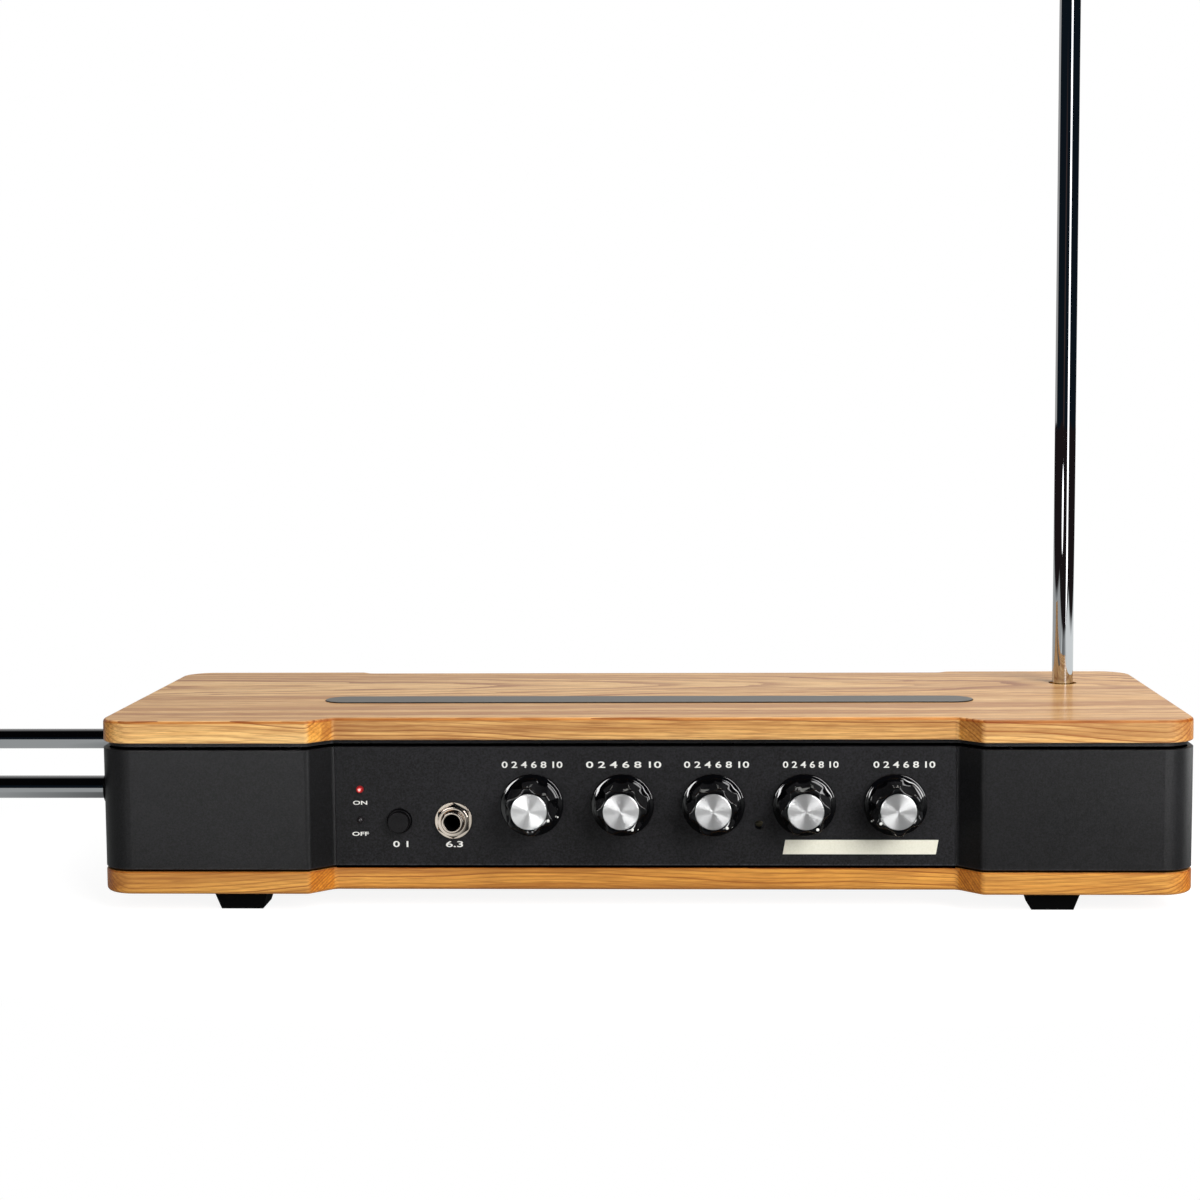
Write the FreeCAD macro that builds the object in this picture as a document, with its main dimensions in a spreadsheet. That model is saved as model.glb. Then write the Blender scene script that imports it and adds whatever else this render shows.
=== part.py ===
import FreeCAD
import Part

import math
import os
import re

import Sketcher
from FreeCAD import Placement, Rotation, Vector

# A tabletop instrument played by moving the hands near two metal antennas. Two wood plates
# hold a black shell between them; an upright rod stands at the right and a flat loop reaches
# out at the left. Five dials, a button, a phones jack and two lamps sit on the front panel.
#
# Frame, in millimetres: +X to the right of someone who faces the dials, +Y away from them and
# +Z up. The origin is the mouth of the stand socket, in the middle of the case's underside.

# Driving sizes. A name that ends in _rise is a height above the bottom plate's upper face.
SIZES = (
    # case
    ("case_width", 457.0),
    ("case_depth", 165.0),
    ("plate_thick", 9.5),
    ("corner_round", 14.0),
    ("edge_round", 1.6),
    ("notch_half", 130.5),
    ("notch_depth", 9.6),
    ("notch_round", 3.5),
    ("rear_half", 137.5),
    ("rear_depth", 3.8),
    ("shell_height", 51.4),
    ("wall", 2.3),
    ("shell_chamfer", 1.2),
    ("rim_gap", 1.15),
    ("liner_thick", 1.65),
    ("liner_inset", 2.3),
    ("window_margin", 6.0),
    # strip let into the top plate
    ("strip_length", 286.0),
    ("strip_width", 19.0),
    ("strip_thick", 2.0),
    ("strip_proud", 0.5),
    ("strip_y", -18.9),
    # screws that hold the case together
    ("post_radius", 4.5),
    ("post_merge", 0.8),
    ("post_offset", 8.0),
    ("case_screw_radius", 2.0),
    ("case_screw_head", 3.9),
    ("screw_clearance", 0.2),
    ("drive_radius", 1.25),
    ("drive_depth", 1.2),
    ("insert_radius", 3.1),
    ("insert_length", 7.0),
    ("screw_tip_gap", 0.8),
    # wood screws that hold the feet, the flange, the rod's socket and the loop's bracket
    ("wood_screw_radius", 1.75),
    ("wood_screw_length", 10.5),
    ("wood_head_radius", 3.5),
    ("wood_head_thick", 2.0),
    # feet
    ("foot_top", 22.8),
    ("foot_bottom", 17.6),
    ("foot_height", 8.2),
    ("foot_inset_x", 58.0),
    ("foot_inset_y", 18.5),
    # stand flange
    ("socket_radius", 7.5),
    ("boss_radius", 11.0),
    ("flange_radius", 27.0),
    ("flange_thick", 3.0),
    ("flange_screw_circle", 19.5),
    # panels
    ("panel_margin", 0.5),
    ("panel_thick", 1.2),
    ("fit_gap", 0.15),
    ("rear_panel_margin", 19.5),
    ("rear_panel_thick", 1.5),
    ("rear_panel_edge", 2.5),
    ("rear_screw_radius", 1.5),
    ("rear_head_radius", 2.9),
    ("rear_head_thick", 1.8),
    # dials
    ("dial_pitch", 38.0),
    ("dial_middle", 28.8),
    ("dial_rise", 26.9),
    ("skirt_radius", 13.2),
    ("skirt_edge", 1.4),
    ("skirt_slope", 1.4),
    ("grip_base_radius", 11.4),
    ("grip_top_radius", 10.2),
    ("grip_bevel", 0.6),
    ("knob_height", 17.2),
    ("knob_gap", 0.6),
    ("flute_circle", 16.2),
    ("flute_base", 5.1),
    ("flute_top", 8.0),
    ("well_radius", 8.0),
    ("well_depth", 4.6),
    ("cap_radius", 7.45),
    ("cap_thick", 0.9),
    ("cap_proud", 0.3),
    ("shaft_radius", 3.0),
    ("shaft_reach", 13.5),
    ("shaft_depth", 3.0),
    ("phones_angle", -24.7),
    ("volume_angle", -57.7),
    ("pitch_angle", -49.5),
    ("waveform_angle", -56.6),
    ("brightness_angle", 213.4),
    ("pot_radius", 8.5),
    ("pot_depth", 9.0),
    ("pot_bushing", 4.5),
    ("pot_bushing_reach", 4.2),
    ("tag_half", 6.8),
    ("tag_reach", 2.5),
    ("pot_nut_flats", 11.0),
    ("pot_nut_thick", 2.0),
    ("running_gap", 0.06),
    # button, lamps, trimmer and nameplate
    ("button_x", -103.2),
    ("button_rise", 19.9),
    ("button_radius", 5.15),
    ("button_cap_radius", 4.55),
    ("button_reach", 4.2),
    ("button_flange", 1.5),
    ("button_bevel", 1.0),
    ("button_stem", 2.0),
    ("button_travel", 2.0),
    ("button_gap", 0.25),
    ("switch_side", 12.0),
    ("switch_depth", 6.2),
    ("lamp_x", -119.7),
    ("power_lamp_rise", 33.4),
    ("mute_lamp_rise", 20.5),
    ("lamp_radius", 1.5),
    ("lamp_reach", 0.6),
    ("lamp_body", 4.0),
    ("lamp_rim", 0.4),
    ("lamp_leg", 0.3),
    ("trimmer_x", 48.0),
    ("trimmer_rise", 18.3),
    ("trimmer_hole", 1.9),
    ("trimmer_side", 7.0),
    ("trimmer_depth", 5.0),
    ("rotor_radius", 1.6),
    ("rotor_reach", 2.0),
    ("rotor_slot_depth", 0.7),
    ("rotor_slot_width", 0.6),
    ("nameplate_middle", 90.3),
    ("nameplate_length", 63.9),
    ("nameplate_slant", 1.1),
    ("nameplate_low", 5.9),
    ("nameplate_height", 6.1),
    ("nameplate_thick", 0.4),
    # jacks
    ("jack_x", -80.3),
    ("jack_rise", 20.2),
    ("jack_bore", 3.3),
    ("jack_bushing", 4.76),
    ("jack_reach", 5.8),
    ("jack_body_side", 15.0),
    ("jack_body_depth", 24.0),
    ("jack_end", 1.5),
    ("jack_nut_flats", 12.7),
    ("jack_nut_thick", 2.4),
    ("washer_radius", 7.95),
    ("washer_thick", 0.8),
    ("rear_jack_first", 46.0),
    ("rear_jack_pitch", 30.0),
    ("rear_rise", 26.0),
    # supply inlet and power rocker
    ("inlet_x", 84.0),
    ("inlet_radius", 5.6),
    ("inlet_rim", 1.0),
    ("inlet_bore", 2.9),
    ("inlet_pin", 1.0),
    ("inlet_depth", 12.0),
    ("inlet_reach", 3.6),
    ("inlet_nut_flats", 14.0),
    ("inlet_nut_thick", 1.8),
    ("rocker_x", -62.0),
    ("rocker_width", 10.6),
    ("rocker_height", 16.0),
    ("rocker_tilt", 8.0),
    ("rocker_depth", 7.0),
    ("rocker_slope", 2.2),
    ("rocker_gap", 0.3),
    ("rocker_floor", 3.0),
    ("pivot_radius", 1.0),
    ("pivot_bite", 0.9),
    ("frame_border", 2.4),
    ("frame_wall", 1.2),
    ("frame_thick", 2.0),
    ("frame_depth", 13.0),
    # boards
    ("board_thick", 1.6),
    ("standoff_height", 10.0),
    ("standoff_radius", 3.0),
    ("board_screw_radius", 1.4),
    ("board_head_radius", 2.8),
    ("board_left_gap", 98.5),
    ("board_right_gap", 68.5),
    ("board_front_gap", 40.5),
    ("board_back_gap", 30.5),
    ("board_inset", 6.0),
    ("control_inset", 5.0),
    ("control_margin", 5.0),
    ("coil_radius", 8.0),
    ("coil_core", 6.4),
    ("coil_height", 20.0),
    ("coil_flange", 1.5),
    ("coil_inset", 24.0),
    ("coil_pitch", 20.8),
    ("chip_length", 18.0),
    ("chip_width", 6.4),
    ("chip_thick", 3.4),
    ("chip_pitch", 30.0),
    ("chip_first", -20.0),
    ("chip_y", 4.0),
    ("can_radius", 4.0),
    ("can_height", 11.0),
    ("can_pitch", 14.0),
    ("can_first", 10.0),
    ("can_inset", 22.0),
    ("plug_length", 28.0),
    ("plug_side", 6.0),
    ("plug_inset", 9.0),
    ("ribbon_width", 25.0),
    ("ribbon_thick", 1.0),
    ("ribbon_lift", 6.0),
    # antennas
    ("antenna_radius", 4.7625),
    ("antenna_wall", 0.9),
    ("antenna_gap", 0.05),
    ("rod_length", 470.0),
    ("rod_inset_x", 37.3),
    ("rod_inset_y", 44.0),
    ("rod_hole_radius", 6.3),
    ("rod_cap_round", 1.2),
    ("socket_wall", 1.8),
    ("socket_floor", 8.0),
    ("socket_base_radius", 16.0),
    ("socket_base_thick", 3.0),
    ("leg_inset", 15.8),
    ("loop_rise", 33.4),
    ("loop_reach", 226.0),
    ("loop_bend", 38.0),
    ("loop_hole_gap", 2.0),
    ("loop_insert", 40.0),
    ("sleeve_end", 2.0),
    ("collar_length", 4.0),
    ("collar_lip", 2.0),
    ("bracket_inset", 22.0),
    ("bracket_thick", 2.0),
    ("bracket_foot", 14.0),
    ("bracket_screw_y", 40.0),
    ("lead_radius", 0.9),
    ("lead_bend", 5.0),
    ("lead_lift", 14.0),
    ("lead_inset", 10.0),
)
NAMES = {name for name, value in SIZES}

doc = FreeCAD.newDocument("instrument")
sizes = doc.addObject("Spreadsheet::Sheet", "sizes")
for row, (name, value) in enumerate(SIZES, start=1):
    sizes.set(f"A{row}", name)
    sizes.set(f"B{row}", str(value))
    sizes.setAlias(f"B{row}", name)
doc.recompute()

# Places that several pieces share, as formulas of the sizes.
UNDER_SHELL = "plate_thick"
RIM = "(plate_thick + shell_height)"
UNDER_LINER = "(plate_thick + shell_height + rim_gap)"
UNDER_TOP = "(plate_thick + shell_height + rim_gap + liner_thick)"
TOP_FACE = "(2 * plate_thick + shell_height + rim_gap + liner_thick)"
HALF_WIDTH = "(case_width / 2)"
HALF_DEPTH = "(case_depth / 2)"
PANEL_HALF = "(notch_half - panel_margin)"
PANEL_FACE = "(notch_depth - case_depth / 2)"
PANEL_BACK = "(notch_depth - case_depth / 2 + panel_thick)"
CONTROL_FACE = "(notch_depth - case_depth / 2 + panel_thick + pot_depth)"
REAR_PANEL_HALF = "(rear_half - rear_panel_margin)"
REAR_FACE = "(case_depth / 2 - rear_depth)"
REAR_PANEL_FACE = "(case_depth / 2 - rear_depth - wall)"
REAR_PANEL_BACK = "(case_depth / 2 - rear_depth - wall - rear_panel_thick)"
POST_X = "(notch_half + notch_depth + post_offset)"
POST_Y = "(case_depth / 2 - wall - post_radius + post_merge)"
SIDE_POST_X = "(case_width / 2 - wall - post_radius + post_merge)"
FOOT_X = "(case_width / 2 - foot_inset_x)"
FOOT_Y = "(case_depth / 2 - foot_inset_y)"
ROD_X = "(case_width / 2 - rod_inset_x)"
ROD_Y = "(case_depth / 2 - rod_inset_y)"
BOARD_LEFT = "(board_left_gap - case_width / 2)"
BOARD_RIGHT = "(case_width / 2 - board_right_gap)"
BOARD_FRONT = "(board_front_gap - case_depth / 2)"
BOARD_BACK = "(case_depth / 2 - board_back_gap)"
BOARD_FACE = "(plate_thick + standoff_height + board_thick)"
DIAL_Z = "(plate_thick + dial_rise)"
LOOP_Z = "(plate_thick + loop_rise)"
REAR_Z = "(plate_thick + rear_rise)"
BRACKET_X = "(bracket_inset - case_width / 2)"
LEG_Y = "(case_depth / 2 - leg_inset)"
LOOP_LEGS = (("front", f"-{LEG_Y}"), ("rear", LEG_Y))
REAR_JACKS = [f"(rear_jack_first - {k} * rear_jack_pitch)" for k in range(3)]
DIALS = ("phones", "volume", "pitch", "waveform", "brightness")

# Where an outline's corners start on a circle, before its formulas place them.
START_RADIUS = 99.0
START_TURN = 0.3

# Turns that carry a piece's own +Z to the way that it faces.
FACING = {
    "+z": Rotation(),
    "-z": Rotation(Vector(1, 0, 0), 180),
    "+y": Rotation(Vector(1, 0, 0), -90),
    "-y": Rotation(Vector(1, 0, 0), 90),
    "+x": Rotation(Vector(0, 1, 0), 90),
    "-x": Rotation(Vector(0, 1, 0), -90),
}

sub_parts = {}


# Helpers


def on_sheet(formula):
    """Return the formula with each size's name pointed at the sheet."""
    word = r"[a-z]+(?:_[a-z]+)*"
    return re.sub(word, lambda m: "sizes." + m[0] if m[0] in NAMES else m[0], str(formula))


def size(name):
    return float(sizes.get(name))


def bind(thing, **formulas):
    for prop, formula in formulas.items():
        thing.setExpression(prop, on_sheet(formula))
    return thing


def put(thing, place, facing="+z"):
    """Turn a piece to face one way and tie its place to the sheet."""
    thing.Placement = Placement(Vector(), FACING[facing])
    for axis, formula in zip("xyz", place):
        thing.setExpression("Placement.Base." + axis, on_sheet(formula))
    return thing


def rod(name, radius, length, place, facing="+z"):
    thing = bind(doc.addObject("Part::Cylinder", name), Radius=radius, Height=length)
    return put(thing, place, facing)


def cone(name, low, high, length, place, facing="+z"):
    thing = doc.addObject("Part::Cone", name)
    bind(thing, Radius1=low, Radius2=high, Height=length)
    return put(thing, place, facing)


def block(name, x, y, z):
    """A box between two formulas on each axis."""
    thing = doc.addObject("Part::Box", name)
    bind(thing, Length=f"({x[1]}) - ({x[0]})", Width=f"({y[1]}) - ({y[0]})")
    bind(thing, Height=f"({z[1]}) - ({z[0]})")
    return put(thing, (x[0], y[0], z[0]))


def around(middle, half):
    return (f"{middle} - ({half})", f"{middle} + ({half})")


def polar(radius, angle):
    return (f"{radius} * cos({angle})", f"{radius} * sin({angle})")


def fuse(name, pieces):
    thing = doc.addObject("Part::MultiFuse", name)
    thing.Shapes = pieces
    return thing


def cut(name, base, tools):
    thing = doc.addObject("Part::Cut", name)
    thing.Base = base
    thing.Tool = tools[0] if len(tools) == 1 else fuse(name + "_cuts", tools)
    return thing


def group(name, pieces):
    thing = doc.addObject("Part::Compound", name)
    thing.Links = pieces
    return thing


def hexagon(name, radius, thick, place, facing="+z", spin=0):
    """A hexagonal bar; its first corner points along its own +X until it is spun."""
    bar = doc.addObject("Part::Prism", name)
    bar.Polygon = 6
    bind(bar, Circumradius=radius, Height=thick)
    put(bar, place, facing)
    bar.Placement.Rotation = FACING[facing] * Rotation(Vector(0, 0, 1), spin)
    return bar


def nut(name, flats, thick, bore, place, facing, spin=0):
    bar = hexagon(name + "_bar", f"({flats}) / sqrt(3)", thick, place, facing, spin)
    return cut(name, bar, [rod(name + "_bore", bore, thick, place, facing)])


def keep(label, thing):
    """Name a finished sub-part; its label is also its file's name."""
    thing.Label = label
    sub_parts[label] = thing
    return thing


def plane(body, role):
    return next(f for f in body.Origin.OriginFeatures if f.Role == role)


def sketch_on(body, name, role):
    sketch = body.newObject("Sketcher::SketchObject", name)
    sketch.AttachmentSupport = (plane(body, role), [""])
    sketch.MapMode = "FlatFace"
    return sketch


def polygon(sketch, corners):
    """Draw a closed outline whose corners are pairs of formulas."""
    count = len(corners)
    turns = [math.tau * (k + START_TURN) / count for k in range(count)]
    ring = [Vector(START_RADIUS * math.cos(turn), START_RADIUS * math.sin(turn)) for turn in turns]
    for k in range(count):
        sketch.addGeometry(Part.LineSegment(ring[k], ring[(k + 1) % count]))
    for k in range(count):
        sketch.addConstraint(Sketcher.Constraint("Coincident", k, 2, (k + 1) % count, 1))
    for k, corner in enumerate(corners):
        for kind, formula, start, axis in zip(("DistanceX", "DistanceY"), corner, ring[k], (-2, -1)):
            if str(formula) == "0":
                sketch.addConstraint(Sketcher.Constraint("PointOnObject", k, 1, axis))
                continue
            row = sketch.addConstraint(Sketcher.Constraint(kind, -1, 1, k, 1, start))
            sketch.setExpression(f"Constraints[{row}]", on_sheet(formula))


def pad(body, name, sketch, length):
    feature = body.newObject("PartDesign::Pad", name)
    feature.Profile = sketch
    return bind(feature, Length=length)


def revolve(body, name, sketch):
    feature = body.newObject("PartDesign::Revolution", name)
    feature.Profile = sketch
    feature.ReferenceAxis = (sketch, ["V_Axis"])
    feature.Angle = 360
    return feature


def edges_where(feature, test):
    """Names of the edges of a recomputed feature whose bounding box passes a test."""
    edges = enumerate(feature.Shape.Edges, start=1)
    return [f"Edge{k}" for k, edge in edges if test(edge.BoundBox)]


def round_edges(body, name, base, test, radius):
    doc.recompute()
    feature = body.newObject("PartDesign::Fillet", name)
    feature.Base = (base, edges_where(base, test))
    return bind(feature, Radius=radius)


def case_corners(inset):
    """Corners of the case's outline, moved in by a distance, from the front left one round."""
    slide = f"({inset}) * tan(22.5)"
    side = f"{HALF_WIDTH} - {inset}"
    front = f"{HALF_DEPTH} - {inset}"
    notch_out = f"notch_half + notch_depth + {slide}"
    notch_in = f"notch_half + {slide}"
    notch_y = f"{HALF_DEPTH} - notch_depth - {inset}"
    rear_out = f"rear_half + rear_depth + {slide}"
    rear_in = f"rear_half + {slide}"
    rear_y = f"{HALF_DEPTH} - rear_depth - {inset}"
    ahead = ((side, front), (notch_out, front), (notch_in, notch_y))
    behind = ((rear_in, rear_y), (rear_out, front), (side, front))
    corners = [(f"-({x})", f"-({y})") for x, y in ahead]
    corners += [(x, f"-({y})") for x, y in reversed(ahead)]
    corners += [(x, y) for x, y in reversed(behind)]
    corners += [(f"-({x})", y) for x, y in behind]
    return corners


def case_slab(name, inset, low, height):
    """A slab with the case's outline, its upright edges rounded; returns body and feature."""
    body = doc.addObject("PartDesign::Body", name)
    put(body, ("0", "0", low))
    sketch = sketch_on(body, name + "_outline", "XY_Plane")
    polygon(sketch, case_corners(inset))
    slab = pad(body, name + "_slab", sketch, height)
    doc.recompute()
    edge_x = slab.Shape.BoundBox.XMax

    def upright(box):
        return box.ZLength > 0.5 and max(box.XLength, box.YLength) < 0.01

    def at_corner(box):
        return upright(box) and abs(abs(box.Center.x) - edge_x) < 0.01

    rounded = round_edges(body, name + "_corners", slab, at_corner, f"corner_round - ({inset})")
    limit = edge_x - size("corner_round")

    def at_step(box):
        return upright(box) and abs(box.Center.x) < limit

    stepped = round_edges(body, name + "_steps", rounded, at_step, "notch_round")
    return body, stepped


def level_edges(*levels):
    """A test for the level edges at given heights."""
    return lambda box: box.ZLength < 0.01 and any(abs(box.ZMin - z) < 0.01 for z in levels)


def at_posts(make):
    """Call make(name, x, y) at each of the case's six posts."""
    spots = [("side_left", f"-{SIDE_POST_X}", "0"), ("side_right", SIDE_POST_X, "0")]
    for x_name, x in (("left", f"-{POST_X}"), ("right", POST_X)):
        for y_name, y in (("front", f"-{POST_Y}"), ("rear", POST_Y)):
            spots.append((f"{y_name}_{x_name}", x, y))
    return [make(*spot) for spot in spots]


def at_feet(make):
    spots = []
    for x_name, x in (("left", f"-{FOOT_X}"), ("right", FOOT_X)):
        for y_name, y in (("front", f"-{FOOT_Y}"), ("rear", FOOT_Y)):
            spots.append((f"{y_name}_{x_name}", x, y))
    return [make(*spot) for spot in spots]


def dial_x(index):
    return f"(dial_middle + {index - 2} * dial_pitch)"


# Case


def make_top_plate():
    body, feature = case_slab("top_wood", "0", UNDER_TOP, "plate_thick")
    thick = size("plate_thick")
    round_edges(body, "top_wood_roundover", feature, level_edges(0, thick), "edge_round")
    rod_hole = rod("top_rod_hole", "rod_hole_radius", "plate_thick", (ROD_X, ROD_Y, UNDER_TOP))
    groove = strip_bar("strip_groove", "fit_gap / 2", "strip_thick - strip_proud", TOP_FACE, "-z")

    def insert_hole(name, x, y):
        return rod(f"top_insert_{name}", "insert_radius", "insert_length", (x, y, UNDER_TOP))

    holes = [rod_hole, groove] + at_posts(insert_hole)
    keep("top_plate", cut("top_plate_solid", body, holes))


def strip_bar(name, grow, thick, low, facing="+z"):
    """A flat bar with round ends, in the strip's place."""
    radius = f"(strip_width / 2 + {grow})"
    reach = "(strip_length / 2 - strip_width / 2)"
    bar = block(name + "_bar", (f"-{reach}", reach), (f"-{radius}", radius), ("0", thick))
    left_end = rod(name + "_left", radius, thick, (f"-{reach}", "0", "0"))
    right_end = rod(name + "_right", radius, thick, (reach, "0", "0"))
    return put(fuse(name, [bar, left_end, right_end]), ("0", "strip_y", low), facing)


def make_inlay_strip():
    low = f"{TOP_FACE} - strip_thick + strip_proud"
    keep("inlay_strip", strip_bar("strip", "0", "strip_thick", low))


def make_top_liner():
    body, feature = case_slab("liner_sheet", "liner_inset", UNDER_LINER, "liner_thick")
    hole = "case_screw_radius + screw_clearance"

    def screw_hole(name, x, y):
        return rod(f"liner_hole_{name}", hole, "liner_thick", (x, y, UNDER_LINER))

    rod_hole = rod("liner_rod_hole", "rod_hole_radius", "liner_thick", (ROD_X, ROD_Y, UNDER_LINER))
    keep("top_liner", cut("top_liner_solid", body, [rod_hole] + at_posts(screw_hole)))


def make_body_shell():
    outer, feature = case_slab("shell_outer", "0", UNDER_SHELL, "shell_height")
    doc.recompute()
    bevel = outer.newObject("PartDesign::Chamfer", "shell_bevel")
    bevel.Base = (feature, edges_where(feature, level_edges(0)))
    bind(bevel, Size="shell_chamfer")
    core, feature = case_slab("shell_core", "wall", UNDER_SHELL, "shell_height")
    panel_seat = block(
        "panel_seat",
        around("0", f"{PANEL_HALF} + fit_gap"),
        (f"{PANEL_FACE} - wall", PANEL_BACK),
        (UNDER_SHELL, RIM),
    )
    window_z = (f"{UNDER_SHELL} + window_margin", f"{RIM} - window_margin")
    front_window = block(
        "front_window",
        around("0", f"{PANEL_HALF} - window_margin"),
        (PANEL_FACE, f"{PANEL_FACE} + 2 * wall"),
        window_z,
    )
    rear_window = block(
        "rear_window",
        around("0", f"{REAR_PANEL_HALF} - rear_panel_edge - window_margin"),
        (f"{REAR_FACE} - 2 * wall", f"{REAR_FACE} + wall"),
        window_z,
    )
    windows = [core, panel_seat, front_window, rear_window]
    for side, y in LOOP_LEGS:
        start = f"-{HALF_WIDTH} - wall"
        place = (start, y, LOOP_Z)
        windows.append(rod(f"loop_hole_{side}", "antenna_radius + loop_hole_gap", "4 * wall", place, "+x"))
    for name, x, z in rear_screw_spots():
        start = f"{REAR_FACE} - 2 * wall"
        place = (x, start, z)
        windows.append(rod(f"wall_hole_{name}", "rear_screw_radius + fit_gap", "3 * wall", place, "+y"))
    walls = cut("shell_walls", outer, windows)

    def post(name, x, y):
        return rod(f"post_{name}", "post_radius", "shell_height + rim_gap", (x, y, UNDER_SHELL))

    def bore(name, x, y):
        radius = "case_screw_radius + screw_clearance"
        return rod(f"post_bore_{name}", radius, "shell_height + rim_gap", (x, y, UNDER_SHELL))

    solid = fuse("shell_with_posts", [walls] + at_posts(post))
    keep("body_shell", cut("body_shell_solid", solid, at_posts(bore)))


def make_bottom_plate():
    body, feature = case_slab("bottom_wood", "0", "0", "plate_thick")
    thick = size("plate_thick")
    round_edges(body, "bottom_wood_roundover", feature, level_edges(0, thick), "edge_round")

    def screw_hole(name, x, y):
        radius = "case_screw_radius + screw_clearance"
        return rod(f"bottom_hole_{name}", radius, "plate_thick", (x, y, "0"))

    def head_seat(name, x, y):
        depth = "case_screw_head - case_screw_radius"
        return cone(f"head_seat_{name}", "case_screw_head", "case_screw_radius", depth, (x, y, "0"))

    holes = at_posts(screw_hole) + at_posts(head_seat)
    holes.append(rod("boss_hole", "boss_radius", "plate_thick", ("0", "0", "0")))
    for name, x, y, seat, facing in wood_screw_spots():
        holes.append(rod(f"pilot_{name}", "wood_screw_radius", "wood_screw_length", (x, y, seat), facing))
    keep("bottom_plate", cut("bottom_plate_solid", body, holes))


def make_case_fixings():
    shank_length = f"{UNDER_TOP} + insert_length - screw_tip_gap"

    def screw(name, x, y):
        depth = "case_screw_head - case_screw_radius"
        head = cone(f"case_head_{name}", "case_screw_head", "case_screw_radius", depth, (x, y, "0"))
        shank = rod(f"case_shank_{name}", "case_screw_radius", shank_length, (x, y, "0"))
        drive = hexagon(f"case_drive_{name}", "drive_radius", "drive_depth", (x, y, "0"))
        return cut(f"case_screw_{name}", fuse(f"case_pin_{name}", [head, shank]), [drive])

    def insert(name, x, y):
        sleeve = rod(f"insert_sleeve_{name}", "insert_radius", "insert_length", (x, y, UNDER_TOP))
        bore = rod(f"insert_bore_{name}", "case_screw_radius", "insert_length", (x, y, UNDER_TOP))
        return cut(f"insert_{name}", sleeve, [bore])

    keep("case_screws", group("case_screw_set", at_posts(screw)))
    keep("case_inserts", group("case_insert_set", at_posts(insert)))


def wood_screw_spots():
    """Each wood screw's name, x, y, the face under its head and the way that it points."""
    spots = at_feet(lambda name, x, y: (f"foot_{name}", x, y, "-foot_height / 2", "+z"))
    for k in range(4):
        x, y = polar("flange_screw_circle", 45 + 90 * k)
        spots.append((f"flange_{k}", x, y, f"{UNDER_SHELL} + flange_thick", "-z"))
    seat = f"{UNDER_SHELL} + socket_base_thick"
    for k in range(3):
        x, y = polar("(socket_base_radius - wood_head_radius)", 60 + 120 * k)
        spots.append((f"socket_{k}", f"{ROD_X} + {x}", f"{ROD_Y} + {y}", seat, "-z"))
    seat = f"{UNDER_SHELL} + bracket_thick"
    x = f"{BRACKET_X} + bracket_foot - wood_head_radius"
    spots.append(("bracket_front", x, "-bracket_screw_y", seat, "-z"))
    spots.append(("bracket_rear", x, "bracket_screw_y", seat, "-z"))
    return spots


def screw_holes(start):
    """The holes for the wood screws whose names start with one word."""
    holes = []
    for name, x, y, seat, facing in wood_screw_spots():
        if name.startswith(start):
            holes.append(rod(f"hole_{name}", "wood_screw_radius", "wood_screw_length", (x, y, seat), facing))
    return holes


def make_wood_screws():
    screws = []
    for name, x, y, seat, facing in wood_screw_spots():
        away = "+z" if facing == "-z" else "-z"
        head = rod(f"head_{name}", "wood_head_radius", "wood_head_thick", (x, y, seat), away)
        shank = rod(f"shank_{name}", "wood_screw_radius", "wood_screw_length", (x, y, seat), facing)
        screws.append(fuse(f"wood_screw_{name}", [head, shank]))
    keep("wood_screws", group("wood_screw_set", screws))


def make_feet():
    holes = screw_holes("foot")

    def foot(name, x, y):
        wedge = doc.addObject("Part::Wedge", f"foot_block_{name}")
        inset = "(foot_top - foot_bottom) / 2"
        bind(wedge, Xmin="0", Zmin="0", Ymin="0", Ymax="foot_height", Xmax="foot_top", Zmax="foot_top")
        bind(wedge, X2min=inset, Z2min=inset, X2max=f"foot_top - {inset}", Z2max=f"foot_top - {inset}")
        put(wedge, (f"{x} - foot_top / 2", f"{y} - foot_top / 2", "0"), "+y")
        well_radius = "wood_head_radius + screw_clearance"
        well = rod(f"foot_well_{name}", well_radius, "foot_height / 2", (x, y, "-foot_height"))
        return cut(f"foot_{name}", wedge, [well, holes.pop(0)])

    keep("rubber_feet", group("foot_set", at_feet(foot)))


def make_stand_flange():
    disc = rod("flange_disc", "flange_radius", "flange_thick", ("0", "0", UNDER_SHELL))
    boss = rod("flange_boss", "boss_radius", "plate_thick + flange_thick", ("0", "0", "0"))
    bore = rod("stand_bore", "socket_radius", "plate_thick + flange_thick", ("0", "0", "0"))
    blank = fuse("flange_blank", [disc, boss])
    keep("stand_flange", cut("stand_flange_solid", blank, [bore] + screw_holes("flange")))


# Panels


def make_front_panel():
    sheet = block("panel_sheet", around("0", PANEL_HALF), (PANEL_FACE, PANEL_BACK), (UNDER_SHELL, RIM))
    holes = []
    for k, dial in enumerate(DIALS):
        place = (dial_x(k), PANEL_FACE, DIAL_Z)
        holes.append(rod(f"panel_{dial}_hole", "pot_bushing + fit_gap", "panel_thick", place, "+y"))
    for name, x, rise, radius in (
        ("button", "button_x", "button_rise", "button_radius + button_gap"),
        ("jack", "jack_x", "jack_rise", "jack_bushing + fit_gap"),
        ("power_lamp", "lamp_x", "power_lamp_rise", "lamp_radius + fit_gap / 2"),
        ("mute_lamp", "lamp_x", "mute_lamp_rise", "lamp_radius + fit_gap / 2"),
        ("trimmer", "trimmer_x", "trimmer_rise", "trimmer_hole"),
    ):
        place = (x, PANEL_FACE, f"plate_thick + {rise}")
        holes.append(rod(f"panel_{name}_hole", radius, "panel_thick", place, "+y"))
    keep("front_panel", cut("front_panel_solid", sheet, holes))


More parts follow.
